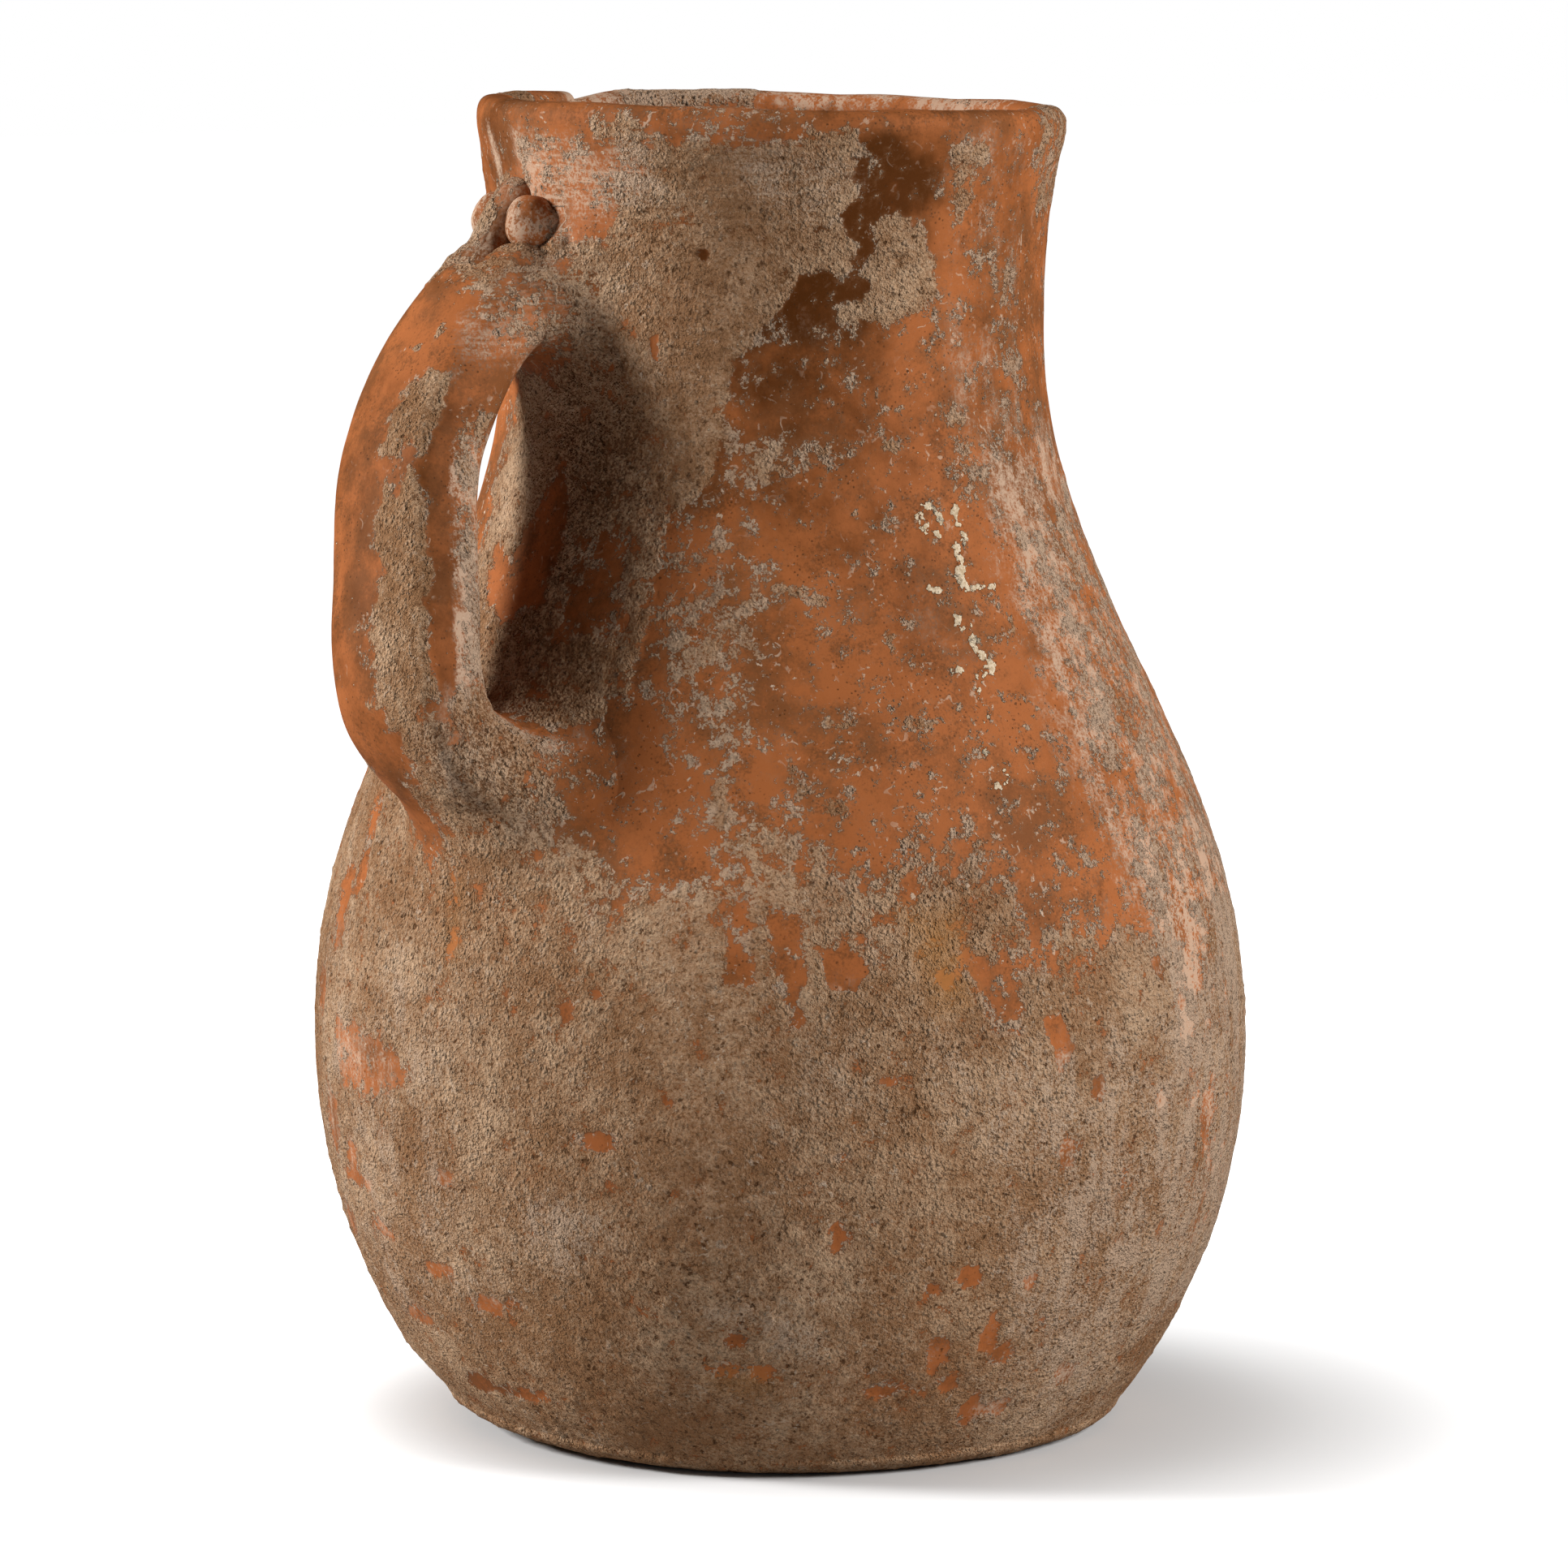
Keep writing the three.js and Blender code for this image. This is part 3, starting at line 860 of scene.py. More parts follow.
BELLY_MARKS: list[Mark] = [
    crust_patch(-0.38, 6, (-22, 132), (-10, 132), (-7, 120), (-13, 116), (-22, 120)),
    crust_patch(0.3, 6, (4, 113), (14, 112), (28, 113), (28, 100), (6, 100)),
    crust_patch(-0.35, 1.6, (-7, 113), (-4, 112), (-3, 100), (-6, 100)),
    crust_patch(-0.4, 1.6, (-1, 113), (3, 112), (3, 100), (2, 93), (0, 98)),
    crust_patch(-0.65, 0.9, (5, 105), (8, 106), (11, 102), (9, 98), (6, 99)),
    crust_patch(-0.25, 2.2, (23, 102), (30, 103), (30, 88), (25, 88)),
    haze_patch(0.55, 12, (30, 76), (60, 96), (62, 8), (30, 8)),
    haze_patch(0.35, 12, (-80, 110), (-40, 100), (-40, 30), (-80, 20)),
    crust_patch(-0.3, 9, (28, 138), (47, 138), (52, 122), (45, 106), (38, 112), (33, 104)),
    crust_patch(-0.75, 0.9, (33, 91), (35.5, 92), (37, 84), (35.5, 80), (34, 84)),
    crust_patch(-0.25, 2, (-71, 126), (-68, 127), (-66, 112), (-69, 106)),
    crust_patch(-0.3, 2, (-75, 112), (-71, 113), (-70, 98), (-74, 96)),
    crust_patch(-0.3, 3, (-70, 84), (-56, 83), (-50, 77), (-58, 70), (-69, 73)),
    crust_patch(-0.3, 3, (58, 112), (66, 110), (64, 92), (59, 90)),
    *crust_spots(-0.65, 1.4, (-22, 69, 4.4, 1.7), (7, 67, 1.5, 0.8), (7, 51.5, 1.8, 2.6),
        (-45, 58, 2, 1.5), (-50, 38.5, 4.2, 1.3), (-42, 33, 4, 2), (24, 42, 2.4, 2.3),
        (28.5, 30, 1.7, 3.2), (31, 25, 3, 2.1), (21, 27, 2.4, 3.4), (29, 13.5, 2.2, 3.2),
        (33, 13, 3.6, 1.6), (45, 18.5, 3.2, 2.2), (14, 19.5, 3.4, 1), (-6, 30.5, 1.6, 1.3),
        (-66, 53, 6, 1.6), (-26, 93, 1.2, 1.6), (-22, 96.5, 0.9, 0.8), (13, 81, 1.6, 0.7),
        (-13, 77, 0.7, 0.9), (19, 40, 1.3, 1.2), (33, 40, 1.4, 1.4), (-52, 14, 3.4, 2.6),
        (-37, 35, 1.2, 0.7), (20, 99, 1.5, 1.1), (46, 58, 1, 1.8), (41, 76, 0.9, 2.4),
        (-44, 103, 0.9, 2.6), (53, 97, 1.1, 1.5), (2, 92.5, 1.2, 1), (11, 54, 0.8, 0.6),
        (37, 31, 0.8, 1), (24, 20, 2.2, 0.9)),
    *crust_spots(-0.4, 2.6, (-78, 88, 4, 5), (-73, 62, 4, 6.5), (-66, 58, 3, 2.6),
        (-76, 42, 4, 5), (-62, 44, 3.4, 2), (-60, 27, 4, 2), (64, 66, 3.4, 5),
        (58, 84, 2.6, 4), (52, 72, 2.2, 2.6)),
    *crust_spots(-0.35, 1.4, (-8, 24.5, 4.5, 1.5), (-42, 14, 8, 1), (36.5, 65, 3, 3.2),
        (-3, 24, 2.4, 1.2)),
    ochre_patch(0.85, 4, (15, 112), (22, 111), (23, 95), (19, 93)),
    *ochre_spots(0.5, 2.5, (-44, 104, 2, 4), (-6, 22, 6, 3)),
    haze_patch(0.5, 5, (18, 88), (36, 86), (38, 62), (24, 62)),
    haze_patch(0.55, 5, (-35, 58), (-18, 58), (-20, 44), (-34, 42)),
    haze_patch(0.5, 4, (-12, 38), (2, 37), (8, 24), (-2, 28)),
    stain_patch(0.35, 6, (8, 62), (22, 62), (22, 44), (8, 44)),
    stain_patch(0.3, 7, (-52, 100), (-16, 100), (-12, 72), (-46, 70)),
]

BACK_MARKS: list[Mark] = [
    crust_patch(0.45, 9, (92, 246), (112, 252), (131, 250), (143, 239), (139, 226), (146, 214),
        (128, 205), (112, 209), (104, 222), (95, 230)),
    crust_patch(0.4, 10, (-178, 232), (-164, 243), (-150, 240), (-141, 246), (-130, 232), (-136, 214),
        (-147, 202), (-158, 208), (-170, 204)),
    crust_patch(0.4, 11, (104, 172), (120, 168), (133, 178), (150, 172), (158, 155), (143, 146),
        (136, 134), (120, 140), (106, 146)),
    crust_patch(0.35, 11, (-162, 158), (-150, 170), (-134, 166), (-122, 175), (-112, 158), (-122, 146),
        (-134, 150), (-146, 138), (-158, 144)),
    crust_patch(-0.45, 9, (100, 104), (112, 116), (124, 110), (134, 116), (141, 100), (128, 92),
        (118, 97), (108, 90)),
    crust_patch(-0.45, 9, (-172, 98), (-160, 110), (-150, 104), (-140, 110), (-134, 96), (-146, 86),
        (-158, 92)),
    stain_patch(0.6, 9, (150, 230), (178, 236), (176, 190), (152, 186)),
    stain_patch(0.5, 9, (-120, 214), (-96, 220), (-94, 180), (-118, 176)),
    haze_patch(0.5, 9, (90, 200), (140, 206), (136, 150), (92, 150)),
    haze_patch(0.45, 9, (-150, 70), (-100, 74), (-104, 36), (-148, 34)),
    *crust_spots(-0.65, 1.4, (100, 64, 4, 2), (122, 40, 2.4, 3.2), (150, 70, 3, 1.6),
        (168, 34, 3.6, 2), (-166, 58, 2.2, 2.8), (-140, 30, 3.6, 1.6), (-118, 62, 2, 1.4),
        (-104, 24, 3, 2.4), (140, 18, 3.8, 1.4), (-90, 44, 2.4, 3), (112, 22, 2, 1.4),
        (-128, 84, 3, 1.3)),
    *lime_spots(0.9, 0.8, (118, 186, 1.2, 1), (121, 183, 1, 1.6), (120, 178, 1.4, 1),
        (-146, 190, 1, 1.4), (-143, 186, 1.6, 0.9), (160, 128, 1.2, 1), (163, 125, 0.9, 1.4)),
]

RIM_MARKS: list[Mark] = [
    crust_patch(-0.5, 1.5, (-180, 270), (180, 270), (180, 254), (-180, 254)),
    crust_patch(0.3, 1.5, (-36, 258), (-22, 258), (-20, 252), (-38, 252)),
    crust_patch(0.35, 1.5, (2, 257), (16, 257), (18, 252), (0, 252)),
    crust_patch(0.1, 2, (64, 262), (92, 262), (90, 240), (66, 240)),
    crust_patch(0.35, 2, (-112, 262), (-96, 262), (-98, 250), (-110, 250)),
    crust_patch(0.4, 3, (-178, 265), (-142, 265), (-146, 256), (-176, 256)),
    haze_patch(0.12, 1, (-180, 270), (180, 270), (180, 258.5), (-180, 258.5)),
    haze_patch(1, 1.5, (-181, 270), (-126, 270), (-126, 257), (-181, 257)),
    haze_patch(0.7, 1.5, (112, 270), (181, 270), (181, 257), (112, 257)),
    crust_patch(-0.9, 1, (-141, 265), (-128.5, 265), (-129, 252), (-140, 252)),
    crust_patch(-0.15, 2, (-26, 263), (8, 263), (6, 254), (-24, 254)),
    stain_patch(0.3, 3, (12, 266), (36, 266), (36, 256), (12, 256)),
    stain_patch(0.05, 4, (-40, 268), (9, 268), (12, 253), (-40, 252)),
]

INSIDE_MARKS: list[Mark] = [
    crust_patch(0.4, 9, (-181, 268), (-130, 268), (-126, 232), (-150, 222), (-181, 230)),
    crust_patch(-0.5, 9, (98, 268), (160, 268), (156, 246), (136, 240), (110, 246)),
    haze_patch(1.1, 9, (-181, 268), (-124, 268), (-120, 236), (-181, 232)),
    haze_patch(0.8, 9, (100, 268), (181, 268), (181, 232), (104, 236)),
    *stain_spots(1, 0.6, (166.5, 254, 0.6, 4), (165, 247, 0.7, 3.4)),
]


@dataclass
class Vessel:
    """The vessel's pieces: the base disc, the courses of the wall and the rim coil."""

    shape: VesselShape = field(default_factory=VesselShape)
    weathering: Weathering = field(default_factory=Weathering)
    course_names: tuple[str, ...] = (
        "foot_course", "lower_belly_course", "upper_belly_course", "lower_shoulder_course",
        "upper_shoulder_course", "lower_neck_course", "upper_neck_course",
    )
    crust_top: float = 141.0  # where the lower crust has gone
    crust_full: float = 97.0
    line_sway: Noise = Noise(15.0, 1, 51)
    line_sway_height: float = 9.0
    line_jag: Noise = Noise(5.0, 2, 53)
    line_jag_height: float = 6.0
    right_drop: float = 13.0  # of the crust's line on the right
    right_start: Point = (20.0, 38.0)  # turns between which it sets in
    right_end: Point = (110.0, 80.0)
    back_turns: Point = (84.0, 112.0)  # turns between which the unseen back begins
    back_drift: Noise = Noise(34.0, 4, 57)
    smoke: Noise = Noise(24.0, 2, 61)
    bloom: Noise = Noise(30.0, 2, 67)
    inside_drift: Noise = Noise(34.0, 2, 71)
    under_drift: Noise = Noise(22.0, 2, 79)
    rubbed_radius: float = 52.0  # of the ring that the jug stands on
    rubbed_width: float = 9.0
    bare_level: float = -0.33
    crust_level: float = 0.55
    chip_depth: float = 1.7
    chip_turns: Point = (-146.0, -128.5)  # on the far rim
    mounds: tuple[Mound, ...] = (
        (-56.0, 235.5, 2.8, 4.6), (-49.0, 230.5, 4.6, 5.5), (-42.0, 232.0, 1.8, 6.0),
        (-69.5, 236.5, 2.4, 4.6), (-63.0, 241.0, 1.4, 4.0), (-88.0, 243.0, 1.2, 9.0),
    )

    def outside_levels(self, places: Array, turn: Array, height: Array) -> Layers:
        """Layers of the outside: crust below, bare clay above, listed patches and patches by noise.

        Args:
            places: the points.
            turn: their turns.
            height: their heights.

        Returns:
            The layers.
        """
        levels = plain_levels(turn.shape, 0.0)
        stray = self.line_sway_height * self.line_sway.at(places)
        stray = stray + self.line_jag_height * self.line_jag.at(places)
        lower = self.right_drop * ease(*self.right_start, turn) * ease(*self.right_end, turn)
        crusted = ease(self.crust_top, self.crust_full, height + stray + lower)
        behind = ease(*self.back_turns, np.abs(turn))
        drift = self.back_drift.at(places)
        levels[Layer.CRUST] += self.bare_level + (self.crust_level - self.bare_level) * crusted
        levels[Layer.CRUST] += 0.65 * behind * drift * (1.0 - 0.6 * crusted)
        levels[Layer.DARK] += np.clip(0.35 * self.smoke.at(places), 0.0, 1.0)
        levels[Layer.HAZE] += np.clip(0.2 * self.bloom.at(places), 0.0, 1.0)
        for marks in (NECK_MARKS, SHOULDER_MARKS, BELLY_MARKS, BACK_MARKS, RIM_MARKS):
            paint(levels, marks, places, turn, height, self.shape.wide_at)
        return levels

    def inside_levels(self, places: Array, turn: Array, height: Array) -> Layers:
        """Layers of the inside: a thin, broken crust, thicker at the bottom.

        Args:
            places: the points.
            turn: their turns.
            height: their heights.

        Returns:
            The layers.
        """
        levels = plain_levels(turn.shape, 0.0, haze=0.25, dark=0.1)
        levels[Layer.CRUST] += 0.15 + 0.3 * ease(90.0, 20.0, height) + 0.4 * self.inside_drift.at(places)
        paint(levels, INSIDE_MARKS, places, turn, height, self.shape.wide_at)
        return levels

    def underside_levels(self, places: Array, radius: Array) -> Layers:
        """Layers of the underside: crust in the middle, rubbed bare towards the edge.

        Args:
            places: the points.
            radius: their distances from the axis.

        Returns:
            The layers.
        """
        levels = plain_levels(radius.shape, 0.0, haze=0.2)
        rubbed = bell(radius, self.rubbed_radius, self.rubbed_width)
        levels[Layer.CRUST] += 0.45 - 0.75 * rubbed + 0.35 * self.under_drift.at(places)
        return levels

    def chip(self, turn: Array, height: Array) -> Array:
        """Depth of the chip in the far rim: a slope from one side and a steep break at the other.

        Args:
            turn: turns of the points.
            height: their heights.

        Returns:
            The depth at each point.
        """
        slope_end, break_end = self.chip_turns
        along = ease(slope_end, break_end - 2.0, turn) * ease(break_end, break_end - 1.2, turn)
        return self.chip_depth * along * ease(252.5, 256.5, height)

    def skin(self, groups: Sequence[Rows], ring: bool, sharp_rows: tuple[int, ...] = ()) -> Skin:
        """Turns rows of a profile about the axis and weathers them.

        Each point is on a circle of its row's radius and height. It then moves along its row's
        facing by the height of what lies on it, less the chip.

        Args:
            groups: the profile's rows, in order round it.
            ring: whether the profile closes on itself.
            sharp_rows: rows at the seams.

        Returns:
            The closed surface.
        """
        parts = [self.weathered(rows) for rows in groups]
        places = np.concatenate([part for part, _ in parts])
        layers = {layer: np.concatenate([levels[layer] for _, levels in parts]) for layer in Layer}
        return Skin(places, layers, ring, sharp_rows)

    def weathered(self, rows: Rows) -> tuple[Array, Layers]:
        """One group of rows, turned, painted and moved; its points and layers.

        Args:
            rows: the rows.

        Returns:
            The points, and their layers.
        """
        turn, height = np.meshgrid(full_turn(TURN_COUNT), rows.height)
        radius = np.repeat(rows.radius[:, None], TURN_COUNT, 1)
        places = self.shape.stand(radius, turn, height)
        if rows.side is Side.OUTSIDE:
            levels = self.outside_levels(places, turn, height)
        elif rows.side is Side.INSIDE:
            levels = self.inside_levels(places, turn, height)
        else:
            levels = self.underside_levels(places, radius)
        lift = self.weathering.settle(places, levels)
        if rows.side is Side.UNDERSIDE:
            lift = np.minimum(lift - lift.max(), 0.0) * ease(0.0, 4.0, radius)
        lift = lift - self.chip(turn, height)
        if rows.side is Side.OUTSIDE:
            clay = clay_on(self.mounds, turn, height, self.shape.wide_at)
            lift = lift + clay * (1.0 + 0.3 * MOUND_GRAIN.at(places))
        moved_radius = radius + lift * rows.face_out[:, None]
        moved_height = height + lift * rows.face_up[:, None]
        return self.shape.stand(moved_radius, turn, np.maximum(moved_height, 0.0)), levels

    def course(self, low: float, high: float) -> Skin:
        """One ring of the wall, level above and below.

        Args:
            low: the lower height.
            high: the upper height.

        Returns:
            The closed surface.
        """
        outside, inside = self.shape.outer_rows(low, high), self.shape.inner_rows(high, low)
        last_outside = len(outside.height) - 1
        last_inside = last_outside + len(inside.height)
        return self.skin([outside, inside], True, (0, last_outside, last_outside + 1, last_inside))

    def rim(self) -> Skin:
        """The last ring, with its round lip.

        Returns:
            The closed surface.
        """
        shape = self.shape
        outside = shape.outer_rows(shape.rim_foot, shape.lip_height)
        lip = shape.lip_rows()
        inside = shape.inner_rows(shape.lip_height, shape.rim_foot)
        last = len(outside.height) + len(lip.height) + len(inside.height) - 1
        return self.skin([outside, lip, inside], True, (0, last))

    def base(self) -> Skin:
        """The slab the jug stands on, from the middle of its underside to the middle of its top.

        Returns:
            The closed surface.
        """
        shape = self.shape
        foot = shape.foot_rows()
        middle = 1.0  # radius of the first ring round each end point
        under = shape.level_rows(Side.UNDERSIDE, middle, float(foot.radius[0]) - PLAIN_STEP, 0.0, -1.0)
        side = shape.outer_rows(shape.foot_round_height, shape.base_thickness)
        top = shape.level_rows(Side.INSIDE, float(side.radius[-1]), middle, shape.base_thickness, 1.0)
        seam = len(under.height) + len(foot.height) + len(side.height) - 1
        return self.skin([under, foot, side, top], False, (seam, seam + 1))

    def pieces(self) -> list[Piece]:
        """Each piece as its node's name, its surface and its finish.

        Returns:
            The pieces, from the base up.
        """
        shape = self.shape
        seams = np.linspace(shape.base_thickness, shape.rim_foot, len(self.course_names) + 1)
        made = [("base_disc", self.base(), Slot.CRUSTED)]
        for name, low, high in zip(self.course_names, seams, seams[1:]):
            made.append((name, self.course(float(low), float(high)), Slot.CRUSTED))
        made.append(("rim_coil", self.rim(), Slot.BARE))
        return made


def through_points(points: Array, steps: int) -> Array:
    """A smooth curve through points, whose speed follows the square root of their distances.

    Between two points it is a cubic whose end slopes come from the neighbours on both sides, each
    weighed by those square roots. The ends are carried on in a straight line for their slopes.

    Args:
        points: the points to pass through.
        steps: samples in each stretch.

    Returns:
        The curve's points.
    """
    padded = np.vstack([2 * points[0] - points[1], points, 2 * points[-1] - points[-2]])
    gaps = np.sqrt(np.linalg.norm(np.diff(padded, axis=0), axis=1))[:, None]
    before, start, end, after = padded[:-3], padded[1:-2], padded[2:-1], padded[3:]
    gap_in, gap, gap_out = gaps[:-2], gaps[1:-1], gaps[2:]
    leave = (start - before) / gap_in - (end - before) / (gap_in + gap) + (end - start) / gap
    arrive = (end - start) / gap - (after - start) / (gap + gap_out) + (after - end) / gap_out
    t = np.linspace(0.0, 1.0, steps, endpoint=False)[None, :, None]
    curve = (
        (2 * t**3 - 3 * t**2 + 1) * start[:, None]
        + (t**3 - 2 * t**2 + t) * (leave * gap)[:, None]
        + (3 * t**2 - 2 * t**3) * end[:, None]
        + (t**3 - t**2) * (arrive * gap)[:, None]
    )
    return np.vstack([curve.reshape(-1, 3), points[-1]])


@dataclass
class Roll:
    """A roll of clay along a curve, with a soft rectangle for its section."""

    curve: Array
    width: float
    depth: float
    squareness: float

    def __post_init__(self) -> None:
        """Measures the curve and its directions once."""
        steps = np.linalg.norm(np.diff(self.curve, axis=0), axis=1)
        self.distance = np.concatenate([[0.0], np.cumsum(steps)])
        tangent = np.gradient(self.curve, axis=0)
        self.tangent = tangent / np.linalg.norm(tangent, axis=1, keepdims=True)

    @property
    def length(self) -> float:
        """The curve's length."""
        return float(self.distance[-1])

    def along_curve(self, values: Array, along: Array) -> Array:
        """Values kept at the curve's points, read at distances along it."""
        return np.stack([np.interp(along, self.distance, values[:, axis]) for axis in range(3)], -1)

    def centre(self, along: Array) -> Array:
        """Points of the centre line."""
        return self.along_curve(self.curve, along)

    def surface(self, around: Array, along: Array, swell: Array | float = 1.0) -> Array:
        """Points of the roll's surface.

        The section's half-width goes with the sine of the angle and its half-depth with the
        cosine, each raised to the squareness. Angle 0 faces away from the vessel, and 90 faces
        round it to the camera's right.

        Args:
            around: angles round the roll, in degrees.
            along: distances along its curve.
            swell: scale of the section.

        Returns:
            The points.
        """
        centre = self.centre(along)
        tangent = self.along_curve(self.tangent, along)
        side = np.stack([-centre[..., 1], centre[..., 0], 0.0 * centre[..., 2]], -1)
        side -= (side * tangent).sum(-1, keepdims=True) * tangent
        side /= np.linalg.norm(side, axis=-1, keepdims=True)
        outward = np.cross(tangent, side)
        angle = np.radians(around)
        across = signed_power(np.sin(angle), self.squareness) * self.width / 2.0
        out = signed_power(np.cos(angle), self.squareness) * self.depth / 2.0
        away = side * across[..., None] + outward * out[..., None]
        return centre + away * np.asarray(swell)[..., None]


HANDLE_MARKS: list[Mark] = [
    crust_patch(1.25, 3, (10, 60), (18, 48), (34, 45), (56, 46), (60, 53), (52, 62), (38, 58), (24, 62)),
    crust_patch(1.25, 3, (6, 72), (14, 65), (26, 69), (42, 64), (56, 70), (60, 84), (52, 90), (58, 105),
        (10, 107), (2, 94), (10, 82)),
    crust_patch(0.15, 3, (84, 52), (120, 44), (124, 112), (92, 112)),
    crust_patch(0.45, 3, (24, 104), (60, 108), (130, 102), (140, 140), (-30, 140), (-10, 120)),
    crust_patch(0.05, 4, (0, 26), (60, 34), (140, 34), (150, 8), (0, 8)),
    crust_patch(0.3, 2, (-50, 26), (40, 25), (60, 14), (50, 6), (-60, 6)),
    # painted shade: the arm's top is darker under the pellets and the spur's foot
    stain_patch(0.7, 2.5, (-50, 24), (34, 23), (46, 16), (40, 8), (-54, 8)),
    haze_patch(0.4, 5, (40, 32), (140, 40), (150, 8), (20, 8)),
    wiped_patch(1, 4, (-60, 40), (150, 44), (150, 4), (-60, 4)),
    crust_patch(0.35, 4, (-150, 40), (-60, 46), (-70, 80), (-140, 92)),
    crust_patch(0.3, 4, (-150, 104), (-40, 112), (-40, 132), (-150, 132)),
    *crust_spots(0.35, 0.8, (6, 40, 1.6, 0.8), (22, 36, 1.2, 2.4), (12, 50, 1.2, 0.7), (-8, 92, 2, 0.9),
        (2, 104, 2.4, 1.2)),
    haze_patch(1.1, 3, (88, 56), (130, 50), (136, 118), (92, 118)),
    haze_patch(0.4, 4, (40, 34), (90, 20), (90, 40), (60, 46)),
    haze_patch(0.3, 4, (20, 108), (120, 104), (130, 132), (20, 132)),
    # painted shade: a darker band where the handle faces the camera, between its crest and its right side
    stain_patch(0.5, 6, (56, 44), (84, 40), (86, 108), (62, 112)),
    stain_patch(-0.4, 14, (-70, 8), (100, 8), (100, 44), (-70, 40)),
    stain_patch(0.4, 12, (-70, 50), (50, 50), (50, 116), (-70, 116)),
    # painted shade by the handle's lower joint, in the crust's hollows and on the clay
    painted_shade_patch(0.3, 5, (30, 108), (110, 106), (120, 134), (20, 134)),
    stain_patch(0.3, 5, (30, 108), (110, 106), (120, 134), (20, 134)),
]


@dataclass
class Handle:
    """The loop handle and the luting that keys its two ends to the wall."""

    vessel: Vessel
    width: float = 32.0
    thickness: float = 19.0
    squareness: float = 0.76
    top: float = 222.0
    foot: float = 122.0
    grip_top: float = 198.0
    heel: float = 147.0
    arm_run: float = 8.0
    finger_gap: float = 18.0
    heel_gap: float = 10.5
    skew: float = 18.0
    root_depth: float = 12.0
    sink: float = 3.0  # how far its ends go on under the wall's face
    columns: int = 200
    rows: int = 260
    curve_steps: int = 60
    crossing_samples: int = 400
    luting_columns: int = 240
    luting_steps: int = 60
    upper_reach: Point = (9.0, 9.0)  # along the roll, and how much more on its inner side
    upper_spread: tuple[float, float, float] = (3.0, 8.0, 11.0)  # more inside, more on the right
    lower_reach: Point = (13.0, 5.0)  # along the roll, and how much more on its right
    lower_spread: Point = (10.0, 14.0)
    tuck: float = 0.4  # how far a luting's edges dip under
    tuck_share: float = 0.14
    mm_per_degree: float = 0.24
    inner_angles: Point = (80.0, 140.0)  # between which the crusted inner side begins
    drift: Noise = Noise(18.0, 2, 83)
    smoke: Noise = Noise(20.0, 2, 89)
    dents: Noise = Noise(17.0, 1, 97)
    dent_depth: float = 0.35
    grip_start: Point = (30.0, 52.0)  # distances between which the ridges set in
    grip_end: Point = (124.0, 104.0)
    ridge_bells: tuple[tuple[float, float, float], ...] = (  # angle, width and rise
        (48.0, 15.0, 0.9), (92.0, 20.0, -0.5), (-52.0, 18.0, 0.6),
    )
    mounds: tuple[Mound, ...] = (
        (0.0, 27.0, 1.3, 5.5), (22.0, 17.0, 2.2, 5.0), (-22.0, 17.0, 2.0, 5.0),
    )

    def beside(self, radius: float, height: float, right: float = 0.0) -> list[float]:
        """A point out from the axis and up, on the handle's bearing there or to the right of it.

        Args:
            radius: from the axis.
            height: above the ground.
            right: millimetres to the right.

        Returns:
            The point.
        """
        share = (height - self.foot) / (self.top - self.foot)
        bearing = math.pi - math.radians(self.skew) * (share - 0.5) + right / radius
        return [radius * math.cos(bearing), radius * math.sin(bearing), height]

    def wall_at(self, height: float) -> float:
        """The wall's plain radius at one height."""
        return float(self.vessel.shape.plain_radius(np.array(height)))

    def roll(self) -> Roll:
        """The handle's roll along its centre line.

        Returns:
            The roll.
        """
        half = self.thickness / 2.0
        stations = (  # a height, and how far out from the wall
            (self.top, -self.root_depth),
            (self.top, self.arm_run),
            (self.grip_top, self.finger_gap + half),
            ((self.grip_top + self.heel) / 2.0, self.finger_gap + half),
            (self.heel, self.heel_gap + half),
            (self.foot, -self.root_depth),
        )
        points = [self.beside(self.wall_at(height) + out, height) for height, out in stations]
        curve = through_points(np.array(points), self.curve_steps)
        return Roll(curve, self.width, self.thickness, self.squareness)

    def crossing(self, roll: Roll, around: Array, depth: float, from_top: bool) -> Array:
        """Distance along the roll at which each line of its surface lies that deep in the wall.

        Every line is sampled along its half of the roll, and the first sample that is clear of
        the depth is joined to the one before it by a straight line.

        Args:
            roll: the handle's roll.
            around: the lines' angles.
            depth: below the wall's face.
            from_top: the upper end if true, or else the lower one.

        Returns:
            One distance for each line.
        """
        ends = (0.0, roll.length / 2.0) if from_top else (roll.length, roll.length / 2.0)
        along = np.linspace(*ends, self.crossing_samples)
        angle, distance = np.meshgrid(around, along)
        points = roll.surface(angle, distance)
        wall = self.vessel.shape.outer_radius(points[..., 2])
        clear = np.hypot(points[..., 0], points[..., 1]) - wall + depth
        first = np.argmax(clear > 0.0, axis=0)
        line = np.arange(len(around))
        before, after = clear[first - 1, line], clear[first, line]
        return along[first - 1] + (along[first] - along[first - 1]) * before / (before - after)

    def levels(self, places: Array, around: Array, along: Array) -> Layers:
        """Layers of the handle: bare on its outer face, with crust on its ridge and ends.

        Args:
            places: the points.
            around: their angles.
            along: their distances along the roll.

        Returns:
            The layers.
        """
        levels = plain_levels(around.shape, -0.8, haze=0.02, dark=0.45)
        inner = ease(*self.inner_angles, np.abs(around))
        levels[Layer.CRUST] += 0.5 * inner + 0.15 * self.drift.at(places)
        levels[Layer.DARK] += np.clip(0.3 * self.smoke.at(places), 0.0, 1.0)
        paint(levels, HANDLE_MARKS, places, around, along, self.wide_at)
        return levels

    def wide_at(self, along: float) -> float:
        """Millimetres in a degree round the roll, the same all along it."""
        return self.mm_per_degree

    def ridges(self, around: Array, along: Array) -> Array:
        """The finger-smoothed ridges and furrow along the grip, as bells round the section."""
        grip = ease(*self.grip_start, along) * ease(*self.grip_end, along)
        return grip * sum(rise * bell(around, angle, width) for angle, width, rise in self.ridge_bells)

